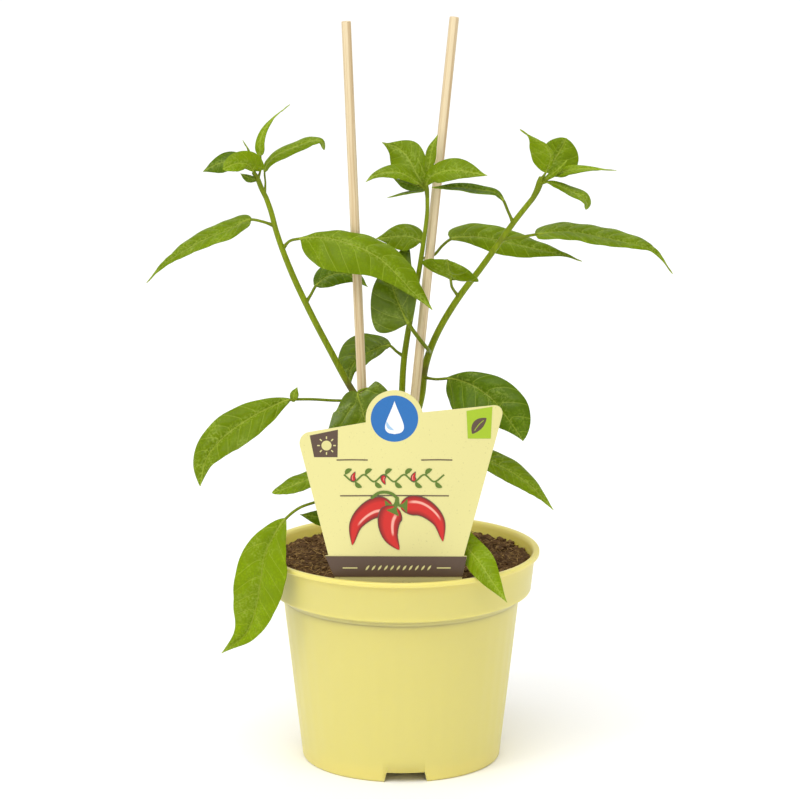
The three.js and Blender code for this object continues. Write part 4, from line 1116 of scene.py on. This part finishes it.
def blade_relief(blade, part, side, away):
    """How many side veins come before a place on a blade, and how far its skin stands out
    there: swells between sunken veins, an uneven and gently bent face, and a waved edge."""
    length, full, size, spacing, swell, seed = blade
    phase = (part * length - VEIN["lean"] * away - VEIN["arch"] * away * away / full) / spacing
    phase += VEIN["stagger"] * max(-1, min(1, side * 5)) + seed * VEIN["next"]
    near_vein = abs(phase - round(phase)) * spacing
    out = abs(side)
    inner = min(1, away / (0.25 * full + 0.1)) * (1 - out ** 4)
    ends = min(1, part * 8, (1 - part) * 6)
    sunk = VEIN_SINK["depth"] * math.exp(-(near_vein / VEIN_SINK["width"]) ** 2)
    lift = swell * size * inner * ends * (1 - sunk)
    lift -= RIB_SINK["depth"] * size * math.exp(-(away / RIB_SINK["width"]) ** 2) * ends
    lift += full * CROWNED * math.sin(math.pi * out) * size * ends
    rough = noise.noise(Vector((part * length / UNEVEN_SKIN["size"],
                                side * full / UNEVEN_SKIN["size"], seed * 9)))
    lift += UNEVEN_SKIN["height"] * rough * inner * ends
    bend = noise.noise(Vector((part * 5, side * 1.5, seed * 5 + 3)))
    lift += BENT * full * bend * out * ends
    turns = length / WAVE_LENGTH * part + 0.3 * seed + (0.35 if side < 0 else 0)
    lift += WAVED * full * math.sin(math.tau * turns) * out ** 3 * ends
    return phase, lift


def add_blade(bm, layer, leaf, route, blade, detail, thick, finish):
    """A leaf's blade: a sheet shaped row by row, and its underside that far behind it."""
    start = route.reach[leaf.base]
    along, across = detail
    verts = bmesh.ops.create_grid(bm, x_segments=along, y_segments=across, size=1)["verts"]
    rows = {}
    for vert in verts:
        row = round((vert.co.x + 1) / 2, 5)
        if row not in rows:
            rows[row] = leaf_section(leaf, route, start + blade.length * row ** RING_SPREAD)
        middle, _, halves, ridge, _, part = rows[row]
        side = vert.co.y
        reach, facing = halves[0] if side >= 0 else halves[1]
        out = abs(side)
        facing = ridge.lerp(facing, min(1, out * 3)).normalized()
        away = reach.length * out
        phase, lift = blade_relief(blade, part, side, away)
        vert.co = middle + reach * out + facing * lift
        vert[layer] = Vector((phase, math.copysign(away, side), part))
    sheet = list({face for vert in verts for face in vert.link_faces})
    if points_left(leaf):
        bmesh.ops.reverse_faces(bm, faces=sheet)
    bm.normal_update()
    facings = {tuple(vert[layer]): vert.normal.copy() for vert in verts}
    shell = bmesh.ops.extrude_face_region(bm, geom=sheet, use_keep_orig=True)
    for face in sheet:
        face.material_index = finish
    for item in shell["geom"]:
        if isinstance(item, bmesh.types.BMFace):
            item.material_index = UNDERSIDE
        if isinstance(item, bmesh.types.BMVert):
            item.co -= facings[tuple(item[layer])] * thick


def add_stalk(bm, layer, leaf, route, steps, thick):
    """A leaf's round stalk, which runs on under the blade as its rib."""

    def stalk(along):
        distance = route.length * close_ended(along, steps)
        middle, heading, _, ridge, radius, part = leaf_section(leaf, route, distance)
        across = heading.cross(ridge).normalized()
        sink = min(1, part * 7)
        if leaf.base:
            swollen = math.exp(-(distance / STALK_FOOT["length"]) ** 2)
            radius *= 1 + STALK_FOOT["thicker"] * swollen
        radius *= 1 - 0.3 * sink
        return middle - ridge * sink * (radius * 0.75 + thick), across, ridge, radius

    start = route.reach[leaf.base]
    for vert, along in add_tube(bm, stalk, steps, STALK_SIDES).items():
        on_blade = route.length * close_ended(along, steps) > start
        vert[layer] = Vector((0.5, 0 if on_blade else OFF_RIB, 0))
        for face in vert.link_faces:
            face.material_index = STALK


def add_leaf(bm, layer, leaf, settings, detail, seed, finish):
    """A leaf, blade and stalk.  Its upper skin is material number `finish`."""
    route = Route([seen(point) for point in leaf.rib])
    full = max(Vector((half.width, half.depth)).length for half in (leaf.upper, leaf.lower))
    spacing = min(settings.vein_spacing / MM, max(VEIN["least"], full * VEIN["share"]))
    blade = Blade(route.length - route.reach[leaf.base], full, min(1, full / FULL_RELIEF),
                  spacing, settings.quilting / MM, seed)
    thick = settings.blade_thickness / MM
    add_blade(bm, layer, leaf, route, blade, detail, thick, finish)
    add_stalk(bm, layer, leaf, route, detail[0], thick)


def leaf_material(tone, settings):
    """The finish of one tone of leaf, underside or stalk, made when it is first asked for."""
    vein, sheen_colour = Vector(settings.vein), Vector(settings.sheen_colour)
    # The fifth value is how much painted sheen a finish shows: pale grains that stand in for
    # glancing light.
    finishes = {
        "fresh": ("Young leaf, soft gloss", settings.fresh, vein, 0.44, 0.4, 0.06),
        "grown": ("Grown leaf, waxy", settings.grown, vein, 0.4, 0.45, 0.1),
        "deep": ("Old leaf, dark and waxy", settings.deep, vein * 0.8, 0.36, 0.35, 0.16),
        "shaded": ("Shaded leaf, dull wax", settings.shaded, vein * 0.9, 0.38, 0.4, 0.5),
        "under": ("Leaf underside, matt", Vector(settings.grown) * 1.05, vein, 0.6, 0.3, 0),
        "stalk": ("Leaf stalk, smooth", settings.stalk, vein, 0.42, 0.3, 0.1),
    }
    name, blade, lines, roughness, sheen_amount, wax = finishes[tone]
    if name in bpy.data.materials:
        return bpy.data.materials[name]
    return living_leaf(name, blade, lines, sheen_colour, roughness, sheen_amount, wax)


def build_foliage(name, node, leaves, settings, core=None):
    """A piece of leaves, given as (leaf, detail, seed), and of the stem's end if it has one."""
    bm = bmesh.new()
    layer = bm.verts.layers.float_vector.new("leaf_place")
    tones = ["under", "stalk", *sorted({leaf.tone for leaf, _, _ in leaves})]
    for leaf, detail, seed in leaves:
        add_leaf(bm, layer, leaf, settings, detail, seed, tones.index(leaf.tone))
    if core:
        for vert in add_tube(bm, stem_section(core, CORE_STEPS), CORE_STEPS, CORE_SIDES):
            vert[layer] = Vector((0.5, OFF_RIB, 0))
            for face in vert.link_faces:
                face.material_index = STALK
    bmesh.ops.recalc_face_normals(bm, faces=bm.faces)
    skins = [leaf_material(tone, settings) for tone in tones]
    make_piece(name, bm, skins, [node], smooth_to=60)


def build_leaves(settings):
    """The large leaves, each with its stalk."""
    for seed, (node, shapes) in enumerate(LEAVES.items(), LEAF_SEED):
        leaves = [(leaf, LARGE_BLADE if leaf.base else SMALL_BLADE, seed) for leaf in shapes]
        build_foliage(node.replace("leaf_", "leaf_blade_"), node, leaves, settings)


def build_crowns(settings):
    """The growing tips with their young leaves."""
    for seed, (node, shapes) in enumerate(CROWNS.items(), CROWN_SEED):
        leaves = [(leaf._replace(stalk=YOUNG_STALK), YOUNG_BLADE, seed + i)
                  for i, leaf in enumerate(shapes)]
        build_foliage(node.replace("crown_", "young_growth_"), node, leaves, settings,
                      CROWN_CORES[node])


def build_stem(settings):
    """The main stem and its three branches, marked where they are brown."""
    bm = bmesh.new()
    joint = bm.verts.layers.float.new("joint")
    for points in STEMS.values():
        add_tube(bm, stem_section(points, STEM_STEPS), STEM_STEPS, STEM_SIDES)
    for x, z, depth, reach, strength in BROWN_JOINTS:
        middle = seen((x, z, depth))
        for vert in bm.verts:
            near = (vert.co - middle).length
            vert[joint] = max(vert[joint], strength * math.exp(-(near / reach) ** 2))
    bmesh.ops.recalc_face_normals(bm, faces=bm.faces)
    make_piece("green_stem", bm, [green_stem_skin(settings)], ["stem"])


# ------------------------------------------------------------------ label


def card_outline(bm):
    """The wire outline of the card in its own plane, with its bump and rounded corners."""
    left = [bm.verts.new((x, 0, z)) for x, z, _ in LABEL_CORNERS]
    bump = LABEL_BUMP
    centre = Vector((bump["x"], 0, bump["z"]))
    start = left[-1].co - centre
    end = Vector((bump["end"][0], 0, bump["end"][1])) - centre
    sweep = (math.atan2(start.z, start.x) - math.atan2(end.z, end.x)) % math.tau
    arc = bmesh.ops.spin(bm, geom=[left[-1]], cent=centre, axis=(0, 1, 0), angle=sweep,
                         steps=40)
    last = next(item for item in arc["geom_last"] if isinstance(item, bmesh.types.BMVert))
    right = [bm.verts.new((x, 0, z)) for x, z, _ in LABEL_CORNERS_RIGHT]
    for pair in [*zip(left, left[1:]), (last, right[0]), *zip(right, right[1:]),
                 (right[-1], left[0])]:
        bm.edges.new(pair)
    for vert, (_, _, rounding) in zip(left + right, LABEL_CORNERS + LABEL_CORNERS_RIGHT):
        if rounding:
            bmesh.ops.bevel(bm, geom=[vert], offset=rounding, affect="VERTICES", segments=8,
                            profile=0.5, material=-1)


def build_label(settings):
    """The card, and its print as thin layers of ink on its face."""
    thickness = settings.thickness / MM
    bm = bmesh.new()
    card_outline(bm)
    bmesh.ops.edgeloop_fill(bm, edges=bm.edges)
    bmesh.ops.recalc_face_normals(bm, faces=bm.faces)
    bmesh.ops.solidify(bm, geom=bm.faces[:], thickness=thickness)
    low = min(vert.co.y for vert in bm.verts)
    bmesh.ops.translate(bm, verts=bm.verts, vec=(0, LABEL_Y - thickness / 2 - low, 0))
    bmesh.ops.recalc_face_normals(bm, faces=bm.faces)
    rims = [edge for edge in bm.edges if edge.calc_face_angle(0) > 1]
    bmesh.ops.bevel(bm, geom=rims, offset=CARD_EDGE, affect="EDGES", segments=2,
                    profile=0.5, material=-1)
    make_piece("label_card", bm, [coated_card(settings)], ["label"])
    build_print(settings, LABEL_Y - thickness / 2)


class InkSheet:
    """Flat shapes of ink on the card's face, laid out in the card's own x and z.  Shapes
    drawn later lie a little further out."""

    def __init__(self, face_y):
        self.bm = bmesh.new()
        self.drawn = self.bm.verts.layers.float_vector.new("drawn")
        self.face_y = face_y
        self.lift = INK_LIFT

    def finish(self, before, ink):
        """Gives the newest faces their ink and raises the next shape."""
        for face in self.bm.faces:
            if face not in before:
                face.material_index = INKS.index(ink)
        self.lift += INK_STEP

    def point(self, x, z):
        """A place on the card, at the newest layer of ink."""
        return Vector((x, self.face_y - self.lift, z))

    def ribbon(self, ink, points, half_width, steps=28, across=8):
        """A shape along a smooth line, as wide on each side as half_width(part) says."""
        before = set(self.bm.faces)
        route = Route([self.point(x, z) for x, z in points])
        grid = bmesh.ops.create_grid(self.bm, x_segments=steps, y_segments=across, size=1)
        for vert in grid["verts"]:
            part, side = (vert.co.x + 1) / 2, vert.co.y
            distance = route.length * part
            heading = route.heading(distance)
            square = Vector((-heading.z, 0, heading.x))
            vert.co = route.at(distance) + square * side * half_width(part)
            vert[self.drawn] = Vector((part, side, 0))
        self.finish(before, ink)

    def disc(self, ink, x, z, radius, sides=40):
        """A round spot."""
        before = set(self.bm.faces)
        place = Matrix.Translation(self.point(x, z)) @ Matrix.Rotation(math.pi / 2, 4, "X")
        bmesh.ops.create_circle(self.bm, cap_ends=True, segments=sides, radius=radius,
                                matrix=place)
        self.finish(before, ink)

    def plate(self, ink, corners):
        """A shape with straight sides."""
        before = set(self.bm.faces)
        self.bm.faces.new([self.bm.verts.new(self.point(x, z)) for x, z in corners])
        self.finish(before, ink)


def pod_width(wide):
    """Half the width of a drawn pod along its length: round shoulders and a drawn-out tip."""
    return lambda part: wide * (math.sin(math.pi * min(1, part * 4.5) / 2) ** 0.6
                                * math.cos(math.pi / 2 * part) ** 0.75)


def leaf_width(wide):
    """Half the width of a small drawn leaf along its length."""
    return lambda part: wide * math.sin(math.pi * part) ** 0.8


def drop_width(wide):
    """Half the width of a drawn drop from its point to its round end."""
    return lambda part: wide * part ** 1.15 * math.sqrt(max(0, 1 - part ** 5))


def even_width(wide):
    """The same half width all along a drawn line."""
    return lambda part: wide


def cap_width(part):
    """Half the width of a drawn pod's cap, which narrows to its stalk."""
    return 0.55 + 2.3 * math.exp(-(part / 0.22) ** 2)


def build_print(settings, face_y):
    """The card's print: a drop on a round spot, two tabs, a vine between rules, a spray of
    pods and a dark band with a row of pips.  Its sizes are the drawing's own, in mm."""
    sheet = InkSheet(face_y)
    print_bump(sheet, LABEL_BUMP["x"], LABEL_BUMP["z"])
    print_tabs(sheet)
    print_vine(sheet)
    print_pods(sheet)
    print_band(sheet)

    bm = sheet.bm
    bm.normal_update()
    bmesh.ops.reverse_faces(bm, faces=[face for face in bm.faces if face.normal.y > 0])
    bmesh.ops.solidify(bm, geom=bm.faces[:], thickness=INK_THICKNESS)
    bmesh.ops.recalc_face_normals(bm, faces=bm.faces)
    inks = {
        "white": printing_ink("Printing ink, white", linear("fbfbf8")),
        "blue": printing_ink("Printing ink, blue", settings.blue),
        "pale_blue": printing_ink("Printing ink, pale blue", linear("a9cdec")),
        "red": pod_ink(settings),
        "green": printing_ink("Printing ink, green", settings.green),
        "brown": printing_ink("Printing ink, brown", settings.brown),
        "lime": printing_ink("Printing ink, lime green", linear("a5c316")),
        "card": printing_ink("Printing ink, pale yellow", settings.card),
    }
    make_piece("label_print", bm, [inks[name] for name in INKS], ["label"])


def print_bump(sheet, x, z):
    """A white drop with a pale glint on a blue round spot."""
    sheet.disc("blue", x, z, 9.9, 64)
    sheet.ribbon("white", [(x, z + 7.6), (x, z), (x, z - 6.6)], drop_width(6.2), 40, 16)
    sheet.ribbon("pale_blue", [(x - 3.4, z - 1.2), (x - 2.4, z - 3.6), (x - 0.2, z - 5)],
                 leaf_width(0.7))


def print_tabs(sheet):
    """A brown tab with a sun at the left, and a lime tab with a leaf at the right."""
    sheet.plate("brown", [(-38.2, 152.9), (-26.4, 155.4), (-26.6, 143.6), (-36.4, 143.6)])
    sun = Vector((-31.2, 148.6))
    sheet.disc("card", sun.x, sun.y, 2.1)
    for i in range(8):
        angle = math.tau * i / 8
        away = Vector((math.cos(angle), math.sin(angle)))
        sheet.ribbon("card", [sun + away * reach for reach in (2.8, 3.3, 3.9)],
                     even_width(0.25), 4, 2)
    sheet.plate("lime", [(27.2, 163.4), (38, 165.2), (37.4, 151.6), (27.8, 151.6)])
    sheet.ribbon("brown", [(29.6, 153.6), (32, 157.4), (35.6, 160.4)], leaf_width(2.2))
    sheet.ribbon("lime", [(30.6, 155), (32.6, 157.8), (34.4, 159.4)], even_width(0.14), 8, 2)


def print_vine(sheet):
    """Three rules, and between them a waved vine with leaves and small pods."""
    for start, end, height in ((-27, -14, 142.4), (8.4, 21.4, 142.4), (-25.6, 20, 127)):
        sheet.ribbon("brown", [(start, height), ((start + end) / 2, height + 0.1),
                               (end, height)], even_width(0.24), 12, 2)
    vine = [(-24 + 4.2 * i, 134.6 + 1.5 * (-1) ** i) for i in range(11)]
    sheet.ribbon("green", vine, even_width(0.34), 90, 2)
    for i, (x, z) in enumerate(vine[:-1]):
        way = (-1) ** i
        sheet.ribbon("green", [(x + 0.6, z), (x + 1.6, z + 1.6 * way), (x + 3.4, z + 2.4 * way)],
                     leaf_width(0.95), 12, 4)
        if i % 3 == 1:
            sheet.ribbon("brown", [(x, z), (x - 0.4, z - 1.8 * way), (x + 0.6, z - 4.4 * way)],
                         pod_width(1.25), 16, 4)
            sheet.ribbon("red", [(x, z - 0.3 * way), (x - 0.4, z - 1.9 * way),
                                 (x + 0.5, z - 4 * way)], pod_width(0.95), 16, 6)


def print_pods(sheet):
    """Three edged red pods that hang from green caps and one bent stalk."""
    pods = [
        ([(-3.4, 122.6), (-11.6, 121.6), (-18.6, 115.4), (-20.6, 105.6)], 4.4),
        ([(-0.6, 122.8), (8.4, 122.4), (15.4, 116.6), (17.6, 107.2)], 4.2),
        ([(-2.2, 122.4), (-5, 116.8), (-4.6, 110), (-0.8, 103.6)], 5),
    ]
    for points, wide in pods:
        first, second = Vector(points[0]), Vector(points[1])
        back = (first - second).normalized()
        sheet.ribbon("brown", points, pod_width(wide + 0.4), 40, 6)
        sheet.ribbon("red", points, pod_width(wide), 40, 12)
        sheet.ribbon("green", [first - back * 3.2, first - back, first, (-1.6, 126.4)],
                     cap_width, 24, 6)
    sheet.ribbon("green", [(-1.6, 125.8), (-3.4, 127.6), (-9, 128.4), (-12.6, 126)],
                 even_width(0.62), 24, 4)


def print_band(sheet):
    """A brown band with two dashes and a row of slanted pips."""
    sheet.plate("brown", [(-31.93, 100.95), (27.6, 100.75), (25.75, 92), (-28.2, 92)])
    for start, end in ((-24.6, -18.4), (15, 20.8)):
        sheet.plate("card", [(start, 96.1), (end, 96.1), (end, 95.6), (start, 95.6)])
    for i in range(11):
        x = -14.2 + 2.6 * i
        sheet.ribbon("card", [(x - 0.8, 94.8), (x, 95.9), (x + 0.8, 97)], leaf_width(0.42),
                     10, 4)


# ------------------------------------------------------------------ stage


def soft_light(name, place, aim, size, power):
    """A large square light that faces a point."""
    data = bpy.data.lights.new(name, "AREA")
    data.energy = power
    data.size = size
    light = add_object(name, data)
    light.location = place
    light.rotation_euler = (Vector(aim) - Vector(place)).to_track_quat("-Z", "Y").to_euler()


def build_stage(settings):
    """A pale floor, soft studio light and the camera of the photograph."""
    scene = bpy.context.scene
    bm = bmesh.new()
    bmesh.ops.create_grid(bm, x_segments=1, y_segments=1, size=FLOOR_REACH)
    material, tree = new_material("Studio paper, matt")
    shade(tree, base_color=solid_colour(settings.floor), roughness=0.95)
    floor = add_object("studio_floor", mesh_from("studio_floor", bm))
    floor.data.materials.append(material)

    world = bpy.data.worlds.new("Studio")
    world.use_nodes = True
    background = world.node_tree.nodes["Background"]
    background.inputs["Color"].default_value = (1, 1, 1, 1)
    background.inputs["Strength"].default_value = settings.sky
    scene.world = world
    for name, (place, aim, size, share) in SOFT_LIGHTS.items():
        soft_light(name, place, aim, size, settings.key_power * share)
    overhead = bpy.data.lights.new("overhead", "SUN")
    overhead.energy = settings.overhead
    overhead.angle = math.radians(SUN_SPREAD)
    add_object("overhead", overhead).rotation_euler = [math.radians(turn) for turn in SUN_TURN]

    lens = bpy.data.cameras.new("photo_view")
    lens.lens = settings.lens
    lens.sensor_width = SENSOR_WIDTH
    lens.clip_end = SIGHT_LIMIT
    camera = add_object("photo_view", lens)
    camera.location = (POT_AXIS.x - EYE_ASIDE * MM, -EYE_DISTANCE * MM, EYE_HEIGHT * MM)
    camera.rotation_euler = (math.radians(90 - EYE_TILT), 0, 0)
    scene.camera = camera
    scene.view_settings.view_transform = "Standard"


# ------------------------------------------------------------------ operators


class ChilliBuildPot(bpy.types.Operator):
    """Build the nursery pot with its foot slots and drain holes"""
    bl_idname = "chilli.build_pot"
    bl_label = "Pot"

    def execute(self, context):
        build_pot(context.scene.chilli_pot)
        return {"FINISHED"}


class ChilliBuildSoil(bpy.types.Operator):
    """Build the potting soil with its crumbs and fibres"""
    bl_idname = "chilli.build_soil"
    bl_label = "Soil"

    def execute(self, context):
        build_soil(context.scene.chilli_soil)
        return {"FINISHED"}


class ChilliBuildStakes(bpy.types.Operator):
    """Build the two round wooden stakes"""
    bl_idname = "chilli.build_stakes"
    bl_label = "Stakes"

    def execute(self, context):
        settings = context.scene.chilli_stakes
        wood = turned_beech(settings)
        radius = settings.diameter / MM / 2
        build_stake("dowel_left", "stake_left", STAKE_LEFT, wood, radius)
        build_stake("dowel_right", "stake_right", STAKE_RIGHT, wood, radius)
        return {"FINISHED"}


class ChilliBuildStem(bpy.types.Operator):
    """Build the green stem and its branches"""
    bl_idname = "chilli.build_stem"
    bl_label = "Stem"

    def execute(self, context):
        build_stem(context.scene.chilli_plant)
        return {"FINISHED"}


class ChilliBuildLeaves(bpy.types.Operator):
    """Build the large leaves with their stalks"""
    bl_idname = "chilli.build_leaves"
    bl_label = "Leaves"

    def execute(self, context):
        build_leaves(context.scene.chilli_plant)
        return {"FINISHED"}


class ChilliBuildYoungGrowth(bpy.types.Operator):
    """Build the young leaves at the ends of the branches"""
    bl_idname = "chilli.build_young_growth"
    bl_label = "Young growth"

    def execute(self, context):
        build_crowns(context.scene.chilli_plant)
        return {"FINISHED"}


class ChilliBuildLabel(bpy.types.Operator):
    """Build the card label and its print"""
    bl_idname = "chilli.build_label"
    bl_label = "Label"

    def execute(self, context):
        build_label(context.scene.chilli_label)
        return {"FINISHED"}


class ChilliBuildStage(bpy.types.Operator):
    """Set up the floor, the lights and the camera"""
    bl_idname = "chilli.build_stage"
    bl_label = "Stage"

    def execute(self, context):
        build_stage(context.scene.chilli_stage)
        return {"FINISHED"}


OPERATORS = [
    ChilliBuildPot, ChilliBuildSoil, ChilliBuildStakes, ChilliBuildStem, ChilliBuildLeaves,
    ChilliBuildYoungGrowth, ChilliBuildLabel, ChilliBuildStage,
]


class ChilliPlantPanel(bpy.types.Panel):
    """Lists the pieces of the plant with their sizes and colours"""
    bl_idname = "VIEW3D_PT_chilli_plant"
    bl_label = "Chilli Plant"
    bl_space_type = "VIEW_3D"
    bl_region_type = "UI"
    bl_category = "Chilli Plant"

    def draw(self, context):
        for operator in OPERATORS:
            self.layout.operator(operator.bl_idname)
        for holder, group in SETTINGS.items():
            box = self.layout.box()
            for name in group.__annotations__:
                box.prop(getattr(context.scene, holder), name)


CLASSES = [*SETTINGS.values(), *OPERATORS, ChilliPlantPanel]


def register():
    """Adds the add-on's classes and its settings on the scene."""
    for each in CLASSES:
        bpy.utils.register_class(each)
    for holder, group in SETTINGS.items():
        setattr(bpy.types.Scene, holder, bpy.props.PointerProperty(type=group))


def unregister():
    """Takes the add-on's classes and settings away again."""
    for holder in SETTINGS:
        delattr(bpy.types.Scene, holder)
    for each in reversed(CLASSES):
        bpy.utils.unregister_class(each)


def main():
    """Builds the whole plant."""
    register()
    for operator in OPERATORS:
        group, name = operator.bl_idname.split(".")
        getattr(getattr(bpy.ops, group), name)()


if __name__ == "__main__":
    main()
